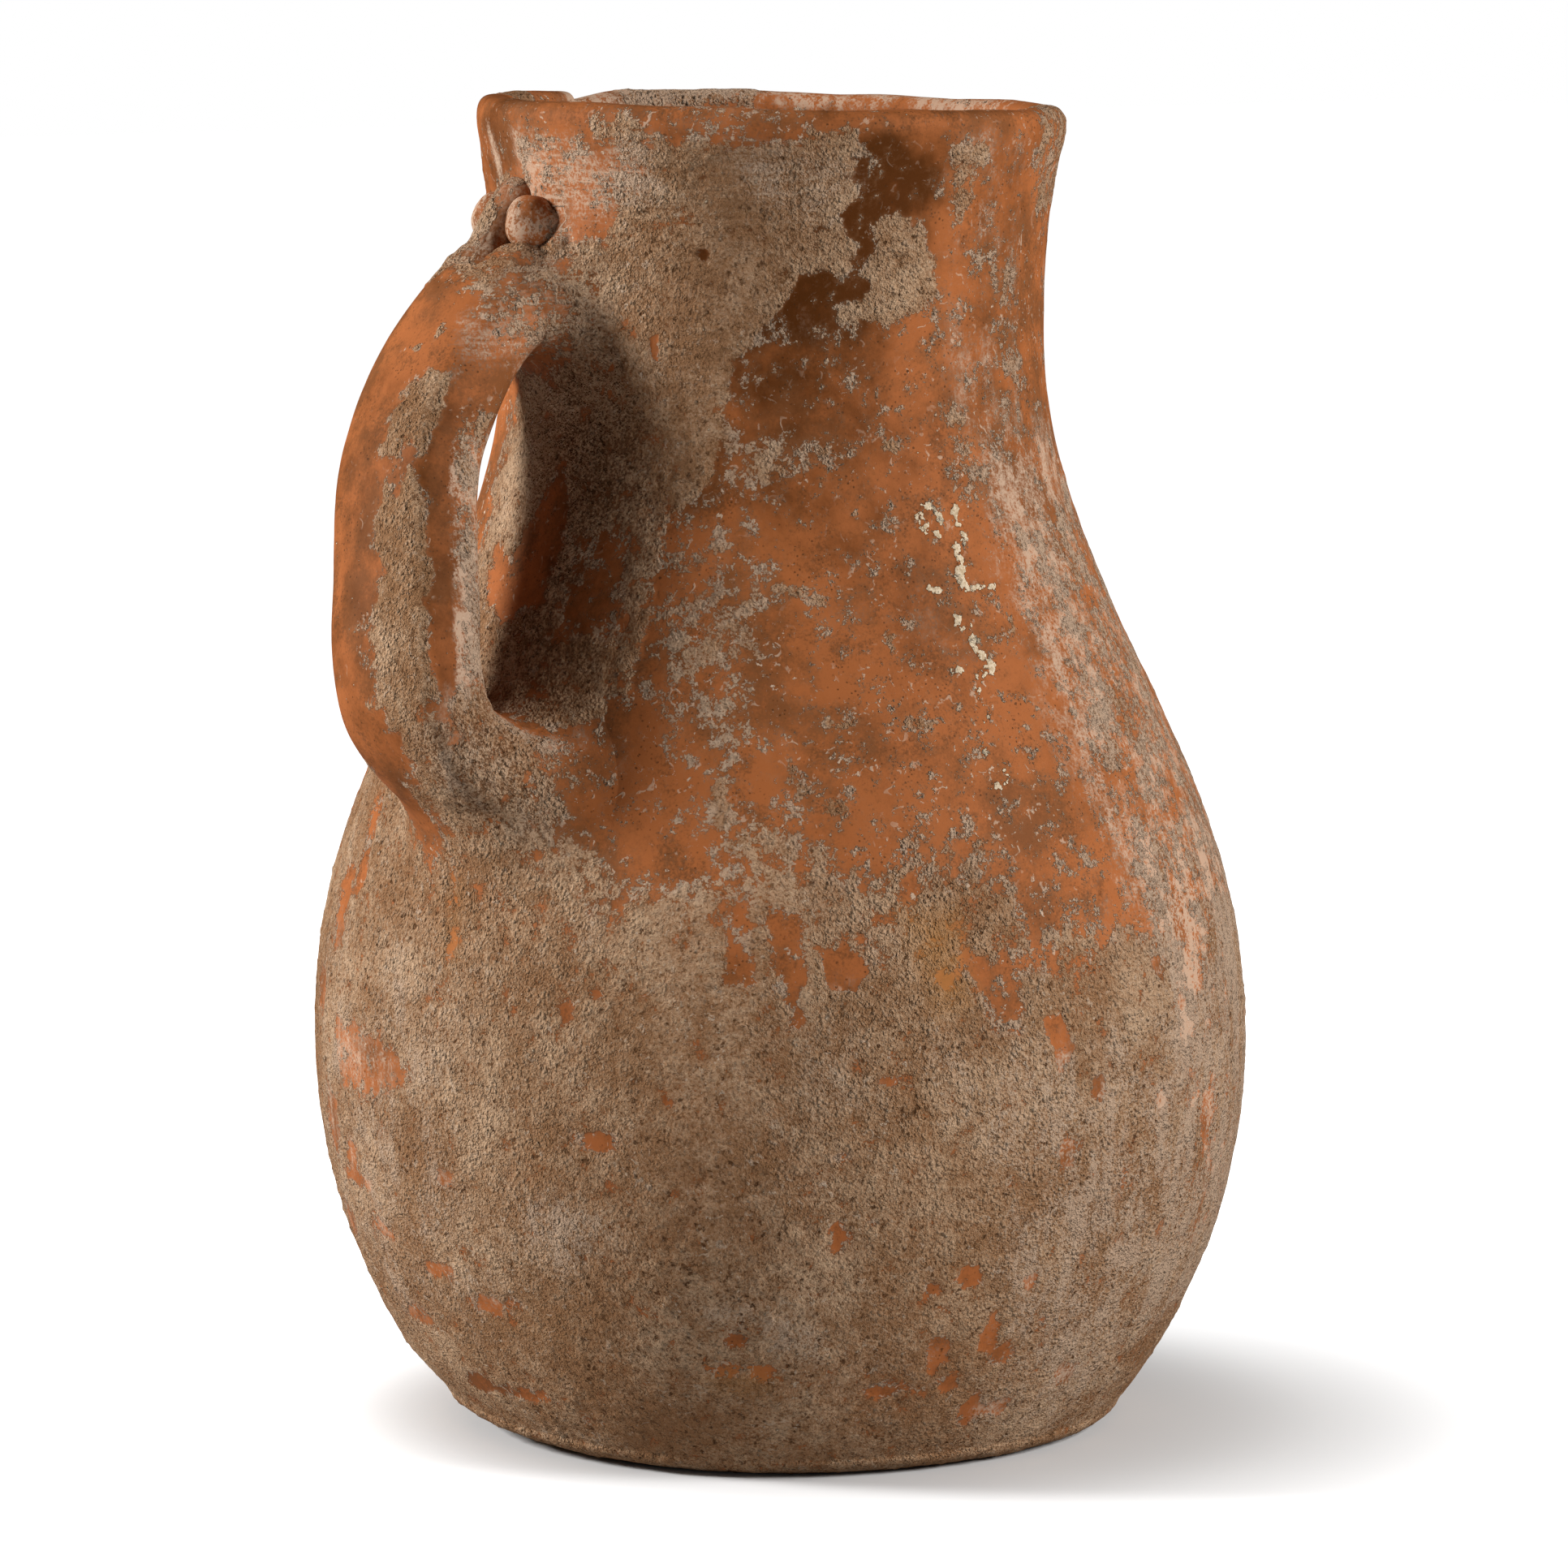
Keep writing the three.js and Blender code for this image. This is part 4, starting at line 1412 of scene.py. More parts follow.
    def grip(self) -> Skin:
        """The roll from just under the wall's face at one end to the same at the other.

        Returns:
            The closed surface.
        """
        roll = self.roll()
        around = full_turn(self.columns)
        start = self.crossing(roll, around, self.sink, True)
        end = self.crossing(roll, around, self.sink, False)
        share = np.linspace(0.0, 1.0, self.rows)[:, None]
        along = start + (end - start) * share
        angle = np.broadcast_to(around, along.shape)
        places = roll.surface(angle, along)
        normal = normals_of(places, places - roll.centre(along))
        leaned = self.vessel.shape.leaned(places)
        levels = self.levels(leaned, angle, along)
        lift = self.vessel.weathering.settle(leaned, levels) + self.ridges(angle, along)
        clay = clay_on(self.mounds, angle, along, self.wide_at)
        lift += clay * (1.0 + 0.3 * MOUND_GRAIN.at(leaned))
        lift += self.dent_depth * self.dents.at(leaned)
        return Skin(leaned + normal * lift[..., None], levels, False)

    def luting(self, from_top: bool, reach: Array, spread: Array) -> Skin:
        """The clay smeared round one end: a hollow fillet from the roll's surface to the wall.

        Each line of the roll meets the wall at a corner. The fillet is the quadratic curve that
        starts on the roll, its reach away from the corner, heads for the corner and ends on the
        wall, its spread away. Its edges dip under both surfaces, and hidden points close it.

        Args:
            from_top: the upper end if true, or else the lower one.
            reach: along the roll, one for each column.
            spread: over the wall, one for each column.

        Returns:
            The closed surface.
        """
        shape, roll = self.vessel.shape, self.roll()
        around = full_turn(self.luting_columns)
        meet = self.crossing(roll, around, 0.0, from_top)
        begin = meet + (reach if from_top else -reach)
        corner, start = roll.surface(around, meet), roll.surface(around, begin)
        turn = np.degrees(np.arctan2(corner[:, 1], corner[:, 0])) % 360.0 - FRONT_BEARING
        wide = shape.wide_at(float(corner[:, 2].mean()))
        away = np.stack([(turn - turn.mean()) * wide, corner[:, 2] - corner[:, 2].mean()], -1)
        away /= np.linalg.norm(away, axis=1, keepdims=True)
        end_turn = turn + spread * away[:, 0] / wide
        end_height = corner[:, 2] + spread * away[:, 1]
        bearing = np.radians(FRONT_BEARING + end_turn)
        end_radius = shape.outer_radius(end_height)
        end = np.stack([end_radius * np.cos(bearing), end_radius * np.sin(bearing), end_height], -1)
        t = np.linspace(0.0, 1.0, self.luting_steps)[:, None, None]
        places = (1 - t) ** 2 * start + 2 * t * (1 - t) * corner + t**2 * end
        share = np.broadcast_to(t[..., 0], places.shape[:2])
        normal = normals_of(places, places - roll.centre(meet))
        leaned = shape.leaned(places)
        levels = self.luting_levels(leaned, share, around, begin, end_turn, end_height)
        lift = self.vessel.weathering.settle(leaned, levels)
        edge = self.tuck_share
        lift -= self.tuck * (ease(edge, 0.0, share) + ease(1.0 - edge, 1.0, share))
        leaned = leaned + normal * lift[..., None]
        hidden = [
            roll.centre(begin)[None] * 0.4 + start[None] * 0.6,
            (end * np.array([0.96, 0.96, 1.0]))[None],
            roll.centre(meet)[None] * 0.7 + corner[None] * 0.3,
        ]
        under_start, under_end, core = (shape.leaned(row) for row in hidden)
        closed = np.concatenate([under_start, leaned, under_end, core])
        layers = {
            layer: np.concatenate([value[:1], value, value[-1:], value[-1:]])
            for layer, value in levels.items()
        }
        return Skin(closed, layers, True)

    def luting_levels(
        self, places: Array, share: Array, around: Array, begin: Array, end_turn: Array, end_height: Array
    ) -> Layers:
        """Layers of a fillet: the handle's at its start, passing over to the wall's at its end.

        Args:
            places: the fillet's points.
            share: how far along its curve each point is.
            around: the columns' angles round the roll.
            begin: the columns' distances along the roll.
            end_turn: the columns' turns where they end on the wall.
            end_height: the columns' heights there.

        Returns:
            The layers.
        """
        full = share.shape
        on_roll = self.levels(places, np.broadcast_to(around, full), np.broadcast_to(begin, full))
        turn, height = np.broadcast_to(end_turn, full), np.broadcast_to(end_height, full)
        on_wall = self.vessel.outside_levels(places, turn.copy(), height.copy())
        passing = ease(0.15, 0.85, share)
        return {layer: on_roll[layer] + passing * (on_wall[layer] - on_roll[layer]) for layer in Layer}

    def pieces(self) -> list[Piece]:
        """The roll and its two lutings, as their nodes' names, surfaces and finishes.

        Returns:
            The pieces.
        """
        angle = np.radians(full_turn(self.luting_columns))
        inner, right = (1.0 - np.cos(angle)) / 2.0, (1.0 + np.sin(angle)) / 2.0
        reach, more_reach = self.upper_reach
        spread, more_inside, more_right = self.upper_spread
        upper_spread = spread + more_inside * inner + more_right * right
        upper = self.luting(True, reach + more_reach * inner, upper_spread)
        reach, more_reach = self.lower_reach
        spread, more_right = self.lower_spread
        lower = self.luting(False, reach + more_reach * right, spread + more_right * right)
        return [
            ("handle_roll", self.grip(), Slot.BARE),
            ("upper_luting", upper, Slot.BARE),
            ("lower_luting", lower, Slot.CRUSTED),
        ]


@dataclass
class Dressing:
    """The spur on the handle's top and the pellets on its two sides."""

    handle: Handle
    spur_width: float = 9.0
    spur_depth: float = 7.0
    spur_foot: float = 229.0
    spur_top: float = 242.0
    spur_run: float = 11.0
    pellet_height: float = 237.4
    pellet_stand: float = 2.5
    pellet_offset: float = 7.2
    set_over: float = 1.5  # of the spur's head and the pellets, to the right
    pellet_radii: tuple[float, float, float] = (5.2, 5.0, 5.7)
    pellet_flare: float = 0.3  # how much wider it is where it is pressed on the wall
    spur_squareness: float = 0.85
    spur_steps: int = 40
    columns: int = 120
    rows: int = 110
    drift: Noise = Noise(7.0, 2, 101)
    dents: Noise = Noise(5.0, 1, 107)
    dent_depth: float = 0.35

    def levels(self, places: Array, crust: float) -> Layers:
        """Even layers with a broad drift.

        Args:
            places: the points.
            crust: level of the crust.

        Returns:
            The layers.
        """
        levels = plain_levels(places.shape[:-1], crust, haze=0.2)
        levels[Layer.CRUST] += 0.3 * self.drift.at(places)
        return levels

    def spur(self) -> Skin:
        """A rib from the top of the arm on to the neck, wider at its foot and with a rough head.

        Returns:
            The closed surface.
        """
        handle = self.handle
        out = handle.wall_at(self.spur_top)
        middle = (self.spur_foot + self.spur_top) / 2.0
        points = [
            handle.beside(handle.wall_at(self.spur_foot) + self.spur_run, self.spur_foot - 1.5),
            handle.beside(out + self.spur_run / 2.0, middle, 0.4 * self.set_over),
            handle.beside(out + 0.5, self.spur_top, self.set_over),
            handle.beside(out - 3.5, self.spur_top, self.set_over),
        ]
        curve = through_points(np.array(points), self.spur_steps)
        roll = Roll(curve, self.spur_width, self.spur_depth, self.spur_squareness)
        around = full_turn(self.columns)
        angle, share = np.meshgrid(around, np.linspace(0.0, 1.0, self.rows))
        along = share * roll.length
        swell = 1.0 + 0.7 * ease(0.4, 0.0, share) ** 2 + 0.12 * bell(share, 0.82, 0.1)
        places = roll.surface(angle, along, swell)
        normal = normals_of(places, places - roll.centre(along))
        leaned = handle.vessel.shape.leaned(places)
        levels = self.levels(leaned, -0.7)
        # crust on the head and on the side against the neck, and painted shade darkening that side
        levels[Layer.CRUST] += 0.3 * ease(0.8, 0.9, share) + 0.9 * ease(118.0, 145.0, np.abs(angle))
        levels[Layer.DARK] += 0.5 * ease(110.0, 140.0, np.abs(angle))
        levels[Layer.HAZE] += 0.2
        lift = handle.vessel.weathering.settle(leaned, levels)
        return Skin(leaned + normal * lift[..., None], levels, False)

    def pellet(self, side: float) -> Skin:
        """A ball of clay as a grid of latitude and longitude, flared where it is pressed on the wall.

        Crust lies beside the spur, behind it and under it, and painted shade darkens those places.

        Args:
            side: -1 for the left of the spur, 1 for its right.

        Returns:
            The closed surface.
        """
        handle = self.handle
        radius = handle.wall_at(self.pellet_height) + self.pellet_stand
        right = side * self.pellet_offset + self.set_over
        centre = np.array(handle.beside(radius, self.pellet_height, right))
        outward = centre * np.array([1.0, 1.0, 0.0]) / math.hypot(centre[0], centre[1])
        spurward = -side * np.array([-outward[1], outward[0], 0.0])
        latitude = np.linspace(-np.pi / 2.0, np.pi / 2.0, self.rows + 2)[1:-1]
        longitude = np.linspace(-np.pi, np.pi, self.columns, endpoint=False)
        around, up = np.meshgrid(longitude, latitude)
        ball = np.stack([np.cos(up) * np.cos(around), np.cos(up) * np.sin(around), np.sin(up)], -1)
        outwards = ball @ outward
        flare = self.pellet_flare * ease(0.25, -0.6, outwards) * ease(0.7, 0.1, ball[..., 2])
        flared = (ball - outwards[..., None] * outward) * flare[..., None]
        places = centre + (ball + flared) * np.array(self.pellet_radii)
        leaned = handle.vessel.shape.leaned(places)
        levels = self.levels(leaned, -0.5)
        levels[Layer.HAZE] += 0.55
        # crust and painted shade on the sides towards the spur and the wall and on the underside
        hidden = ease(0.45, 0.85, ball @ spurward) + 0.5 * ease(0.1, -0.3, outwards)
        hidden = np.minimum(hidden + ease(-0.5, -0.9, ball[..., 2]), 1.0)
        levels[Layer.CRUST] += 1.1 * hidden
        levels[Layer.DARK] += 0.4 * hidden
        lift = handle.vessel.weathering.settle(leaned, levels)
        lift = lift + self.dent_depth * self.dents.at(leaned)
        return Skin(leaned + ball * lift[..., None], levels, False)

    def pieces(self) -> list[Piece]:
        """The spur and the pellets, as their nodes' names, surfaces and finishes."""
        return [
            ("handle_spur", self.spur(), Slot.BARE),
            ("left_pellet", self.pellet(-1.0), Slot.BARE),
            ("right_pellet", self.pellet(1.0), Slot.BARE),
        ]


Input = Union["Value", float, int]


class Value:
    """A number that varies over a surface: a socket that takes part in Python arithmetic."""

    def __init__(self, sheet: "NodeSheet", socket: bpy.types.NodeSocket) -> None:
        """Keeps the socket and the sheet that new nodes go on."""
        self.sheet = sheet
        self.socket = socket

    def math(self, operation: str, first: Input, second: Input = 0.0) -> "Value":
        """A Math node on two values."""
        node = self.sheet.node("ShaderNodeMath", {"operation": operation}, {0: first, 1: second})
        return Value(self.sheet, node.outputs[0])

    def __add__(self, other: Input) -> "Value":
        """The sum."""
        return self.math("ADD", self, other)

    __radd__ = __add__

    def __sub__(self, other: Input) -> "Value":
        """The difference."""
        return self.math("SUBTRACT", self, other)

    def __rsub__(self, other: Input) -> "Value":
        """The difference, the other way round."""
        return self.math("SUBTRACT", other, self)

    def __mul__(self, other: Input) -> "Value":
        """The product."""
        return self.math("MULTIPLY", self, other)

    __rmul__ = __mul__

    def size(self) -> "Value":
        """The value without its sign."""
        return self.math("ABSOLUTE", self)

    def smooth(self, low: float, high: float) -> "Value":
        """0 at low, 1 at high and an S-curve between them."""
        node = self.sheet.node(
            "ShaderNodeMapRange",
            {"interpolation_type": "SMOOTHSTEP"},
            {"Value": self, "From Min": low, "From Max": high},
        )
        return Value(self.sheet, node.outputs["Result"])


@dataclass(frozen=True)
class Grain:
    """A noise of a finish: cells in a metre, finer layers, their weight and a squash upwards."""

    scale: float
    detail: float = 2.0
    roughness: float = 0.55
    squash: float = 1.0


class NodeSheet:
    """A material's or the world's nodes, added one at a time."""

    def __init__(self, tree: bpy.types.NodeTree) -> None:
        """Starts on an emptied tree."""
        self.tree = tree
        tree.nodes.clear()

    def node(self, kind: str, settings: dict | None = None, inputs: dict | None = None) -> bpy.types.Node:
        """Adds a node.

        Args:
            kind: the node's type.
            settings: its own properties, set first.
            inputs: values or links, by the socket's name or number.

        Returns:
            The node.
        """
        node = self.tree.nodes.new(kind)
        for name, setting in (settings or {}).items():
            setattr(node, name, setting)
        for name, given in (inputs or {}).items():
            if isinstance(given, Value):
                given = given.socket
            if isinstance(given, bpy.types.NodeSocket):
                self.tree.links.new(given, node.inputs[name])
            else:
                node.inputs[name].default_value = given
        return node

    def layer(self, layer: Layer) -> Value:
        """A layer of weathering, read from the mesh."""
        node = self.node("ShaderNodeAttribute", {"attribute_name": layer.value})
        return Value(self, node.outputs["Fac"])

    def noise(self, grain: Grain) -> Value:
        """Noise about 0 in the object's own space.

        Args:
            grain: its scale and layers.

        Returns:
            About -0.3 to 0.3.
        """
        place = self.node("ShaderNodeTexCoord").outputs["Object"]
        factors = {0: place, 1: (1.0, 1.0, grain.squash)}
        squashed = self.node("ShaderNodeVectorMath", {"operation": "MULTIPLY"}, factors)
        wanted = {
            "Vector": squashed.outputs[0],
            "Scale": grain.scale,
            "Detail": grain.detail,
            "Roughness": grain.roughness,
        }
        return Value(self, self.node("ShaderNodeTexNoise", None, wanted).outputs["Fac"]) - 0.5

    def cells(self, scale: float) -> Value:
        """Distance to the nearest of scattered points, in cells, so many of them to a metre."""
        wanted = {"Vector": self.node("ShaderNodeTexCoord").outputs["Object"], "Scale": scale}
        return Value(self, self.node("ShaderNodeTexVoronoi", None, wanted).outputs["Distance"])

    def mix(self, share: Input, first: Colour | Value, second: Colour | Value) -> Value:
        """A colour that share parts of the way from the first to the second."""
        wanted = {0: share, 6: self.opaque(first), 7: self.opaque(second)}
        return Value(self, self.node("ShaderNodeMix", {"data_type": "RGBA"}, wanted).outputs[2])

    @staticmethod
    def opaque(colour: Colour | Value) -> tuple[float, ...] | Value:
        """A written colour with its alpha; a linked one as it is."""
        return colour if isinstance(colour, Value) else (*colour, 1.0)


@dataclass(frozen=True)
class CrustedClay:
    """Coarse fired clay, wiped smooth, with the ground's crust, stains and lime on it."""

    orange: Colour = (0.375, 0.118, 0.036)
    brown: Colour = (0.205, 0.072, 0.024)
    # dark brown of scorched clay, also laid as painted shade along the crust's edge
    scorched_and_edge_shade: Colour = (0.082, 0.024, 0.004)
    smudge: Colour = (0.140, 0.054, 0.020)
    pore: Colour = (0.055, 0.022, 0.008)
    dust: Colour = (0.42, 0.22, 0.115)
    earth: Colour = (0.32, 0.165, 0.079)
    pale_earth: Colour = (0.64, 0.43, 0.27)
    # dark damp earth for the stain on the crust, and painted shade in its hollows and pits
    damp_earth_and_shade: Colour = (0.12, 0.054, 0.022)
    chalk: Colour = (0.60, 0.44, 0.315)
    haze: Colour = (0.56, 0.395, 0.278)
    lime: Colour = (0.68, 0.55, 0.39)
    dull_lime: Colour = (0.46, 0.34, 0.21)
    ochre: Colour = (0.45, 0.20, 0.055)
    clay_roughness: float = 0.62
    crust_roughness: float = 0.96
    ragged: Grain = Grain(260.0, 6.0, 0.72)  # of the crust's edge and clods
    wiping: Grain = Grain(90.0, 4.0, 0.65, 11.0)
    fine: Grain = Grain(1700.0, 3.0, 0.65)
    burning: Grain = Grain(170.0, 5.0, 0.68)
    pitted: Grain = Grain(210.0, 3.0, 0.6)
    runs: Grain = Grain(500.0, 5.0, 0.7, 0.3)
    broad_runs: Grain = Grain(130.0, 3.0, 0.6, 0.3)
    wiped_runs: Grain = Grain(110.0, 5.0, 0.7, 9.0)
    strokes: Grain = Grain(150.0, 2.0)
    stroke_breaks: Grain = Grain(430.0, 3.0, 0.6)
    specks: Grain = Grain(640.0, 4.0, 0.7)
    fleck_clusters: Grain = Grain(75.0, 3.0, 0.6)
    clouds: Grain = Grain(36.0, 4.0, 0.6)
    small_clouds: Grain = Grain(130.0, 5.0, 0.68)
    smudged: Grain = Grain(95.0, 5.0, 0.7)
    small_pored: Grain = Grain(160.0, 3.0)
    large_pored: Grain = Grain(85.0, 3.0)
    paled: Grain = Grain(48.0, 5.0, 0.62)
    chalk_specks: Grain = Grain(900.0, 4.0, 0.7)
    granulated: Grain = Grain(260.0, 3.0, 0.6)
    crumbled: Grain = Grain(700.0, 3.0, 0.6)
    pit_cells: float = 560.0
    small_pore_cells: float = 900.0
    large_pore_cells: float = 400.0
    crumb_cells: float = 2100.0
    lime_cells: float = 1000.0
    granule_cells: float = 1000.0
    specular: float = 0.04

    def material(self, name: str) -> bpy.types.Material:
        """Builds the finish as nodes.

        Args:
            name: the material's name.

        Returns:
            The material.
        """
        material = bpy.data.materials.new(name)
        material.use_nodes = True
        sheet = NodeSheet(material.node_tree)
        crust = sheet.layer(Layer.CRUST)
        ragged = sheet.noise(self.ragged)
        wiped = sheet.layer(Layer.WIPED)
        ragged = ragged + wiped * sheet.noise(self.wiping) * 0.6
        fine = sheet.noise(self.fine)
        cover = crust + ragged * 3.0 + fine * 1.2
        covered = cover.smooth(0.0, 0.1)
        thin = crust.smooth(0.25, -0.2)
        # painted shade: a dark band on the bare clay just outside the crust's edge, standing in for the
        # shadow that the raised crust casts
        painted_edge_shade = cover.smooth(-0.3, 0.0) * (1.0 - covered) * (1.0 - thin)
        burnt = (sheet.layer(Layer.DARK) + sheet.noise(self.burning) * 0.8).smooth(0.05, 1.0)
        pits = (sheet.cells(self.pit_cells) + fine * 0.8 + ragged * 0.5).smooth(0.28, 0.08)
        pits = pits * sheet.noise(self.pitted).smooth(-0.04, 0.12)
        flecks = self.flecks(sheet, crust) * (1.0 - burnt * 0.8)
        colour = self.clay_colour(sheet, burnt, fine)
        dusty = (crust + ragged * 2.5).smooth(-0.4, 0.4) * 0.3
        colour = sheet.mix(dusty, colour, self.dust)
        colour = sheet.mix(painted_edge_shade * 0.3, colour, self.scorched_and_edge_shade)
        crusted = sheet.mix(thin * 0.8, self.crust_colour(sheet, ragged, fine, pits), self.chalk)
        crusted = sheet.mix(burnt * 0.15, crusted, self.damp_earth_and_shade)
        colour = sheet.mix(covered * (0.8 + crust.smooth(0.0, 0.7) * 0.17), colour, crusted)
        upright = sheet.noise(self.runs) + sheet.noise(self.broad_runs)
        level = sheet.noise(self.wiped_runs) * 0.9
        streaks = upright + wiped * (level - upright) + fine * 1.2
        hazy = (sheet.layer(Layer.HAZE) * (1.0 + streaks * 4.5)).smooth(0.1, 1.1) * 0.75
        colour = sheet.mix(hazy, colour, self.haze)
        colour = sheet.mix(flecks * 0.9, colour, self.chalk)
        colour = sheet.mix(sheet.layer(Layer.OCHRE) * 0.6, colour, self.ochre)
        lime = sheet.layer(Layer.LIME) - sheet.cells(self.lime_cells) * 0.6 + ragged + fine
        limed = lime.smooth(0.1, 0.18)
        colour = sheet.mix(lime.smooth(0.0, 0.1) * 0.6, colour, self.scorched_and_edge_shade)
        chalked = sheet.mix((fine * 2.0 + ragged).smooth(0.2, -0.25), self.lime, self.dull_lime)
        colour = sheet.mix(limed, colour, chalked)
        rough = self.clay_roughness + covered * (self.crust_roughness - self.clay_roughness)
        inputs = {
            "Base Color": colour,
            "Roughness": rough,
            "Normal": self.bumps(sheet, covered, flecks * 0.12 + limed * 0.3, pits, ragged, fine),
            "Specular IOR Level": self.specular,
        }
        shader = sheet.node("ShaderNodeBsdfPrincipled", None, inputs)
        sheet.node("ShaderNodeOutputMaterial", None, {"Surface": shader.outputs[0]})
        return material

    def flecks(self, sheet: NodeSheet, crust: Value) -> Value:
        """Pale strokes and specks in clusters on thinly crusted clay.

        A stroke is where one noise is about 0, cut into short lengths by a finer one. A speck is
        where a noise is high.

        Args:
            sheet: the material's nodes.
            crust: the level of the crust.

        Returns:
            1 on a fleck.
        """
        stroke = sheet.noise(self.strokes).size().smooth(0.022, 0.008)
        stroke = stroke * sheet.noise(self.stroke_breaks).smooth(0.05, 0.11)
        speck = sheet.noise(self.specks).smooth(0.12, 0.16)
        cluster = sheet.noise(self.fleck_clusters).smooth(-0.12, 0.06)
        return (stroke * 0.7 + speck) * cluster * crust.smooth(-0.75, -0.25)

    def clay_colour(self, sheet: NodeSheet, burnt: Value, fine: Value) -> Value:
        """Orange to brown clay in clouds, with smudges, charred where burnt, and dark pores.

        Args:
            sheet: the material's nodes.
            burnt: 1 where it is scorched.
            fine: the finest noise.

        Returns:
            The colour.
        """
        clouds = sheet.noise(self.clouds) + sheet.noise(self.small_clouds) * 0.8 + fine * 0.3
        colour = sheet.mix(clouds.smooth(-0.1, 0.18), self.orange, self.brown)
        smudges = (sheet.noise(self.smudged) + fine * 0.5).smooth(0.03, 0.22) * 0.7
        colour = sheet.mix(smudges, colour, self.smudge)
        colour = sheet.mix(burnt, colour, self.scorched_and_edge_shade)
        small = (sheet.cells(self.small_pore_cells) + fine * 0.6).smooth(0.25, 0.1)
        small = small * sheet.noise(self.small_pored).smooth(-0.06, 0.1)
        large = (sheet.cells(self.large_pore_cells) + fine * 0.5).smooth(0.15, 0.05)
        large = large * sheet.noise(self.large_pored).smooth(0.0, 0.12)
        return sheet.mix((small + large) * 0.75, colour, self.pore)

    def crust_colour(self, sheet: NodeSheet, ragged: Value, fine: Value, pits: Value) -> Value:
        """Beige earth, paler in clouds and grains, with painted shade in its hollows and pits.

        Args:
            sheet: the material's nodes.
            ragged: the noise of its edge.
            fine: the finest noise.
            pits: 1 in a pit.

        Returns:
            The colour.
        """
        pale = sheet.noise(self.paled) * 0.8 + ragged * 0.7 + fine * 0.6
        colour = sheet.mix(pale.smooth(-0.14, 0.3), self.earth, self.pale_earth)
        # painted shade: darker in the low spots of the relief and in the pits
        low = (sheet.layer(Layer.PAINTED_SHADE) - 0.5 - fine * 2.0 - ragged * 1.2).smooth(0.1, 0.5)
        specks = sheet.noise(self.chalk_specks).smooth(0.1, 0.2) * 0.45
        colour = sheet.mix(specks, colour, self.chalk)
        return sheet.mix(low * 0.75 + pits * 0.85, colour, self.damp_earth_and_shade)

    def bumps(
        self, sheet: NodeSheet, covered: Value, raised: Value, pits: Value, ragged: Value, fine: Value
    ) -> bpy.types.NodeSocket:
        """Relief in millimetres: faint grain on clay; on crust an edge, clods, granules and pits.

        Args:
            sheet: the material's nodes.
            covered: 1 where there is crust.
            raised: flecks and lime.
            pits: 1 in a pit.
            ragged: the noise of the crust's edge.
            fine: the finest noise.

        Returns:
            The normal.
        """
        granules = sheet.cells(self.granule_cells).smooth(0.6, 0.1)
        granules = granules * sheet.noise(self.granulated).smooth(-0.04, 0.16)
        crumbs = sheet.cells(self.crumb_cells).smooth(0.6, 0.1)
        crumbs = crumbs * sheet.noise(self.crumbled).smooth(-0.1, 0.16)
        grains = ragged * 1.1 + granules * 0.8 + crumbs * 0.6 + fine * 0.9 - pits * 0.7
        height = covered * (grains + 0.2) + raised + fine * 0.05
        wanted = {"Strength": 1.0, "Distance": MM, "Height": height}
        return sheet.node("ShaderNodeBump", None, wanted).outputs["Normal"]


@dataclass(frozen=True)
class Lamp:
    """A soft box, placed by its turn from the front, its elevation and its distance."""

    name: str
    turn: float
    elevation: float
    distance: float
    size: float
    level: float  # brightness that a white surface facing it would have

    def light(self, aim: Vector) -> None:
        """Adds the lamp, turned towards a point.

        A square lamp's power divided by pi squared and by its distance squared is the level that
        it gives a surface that faces it.

        Args:
            aim: the point.
        """
        bearing = math.radians(FRONT_BEARING + self.turn)
        rise = math.radians(self.elevation)
        flat = math.cos(rise)
        way = Vector((flat * math.cos(bearing), flat * math.sin(bearing), math.sin(rise)))
        data = bpy.data.lights.new(self.name, "AREA")
        data.size = self.size
        data.energy = self.level * math.pi**2 * self.distance**2
        lamp = bpy.data.objects.new(self.name, data)
        lamp.location = aim + way * self.distance
        lamp.rotation_euler = (-way).to_track_quat("-Z", "Y").to_euler()
        bpy.context.scene.collection.objects.link(lamp)


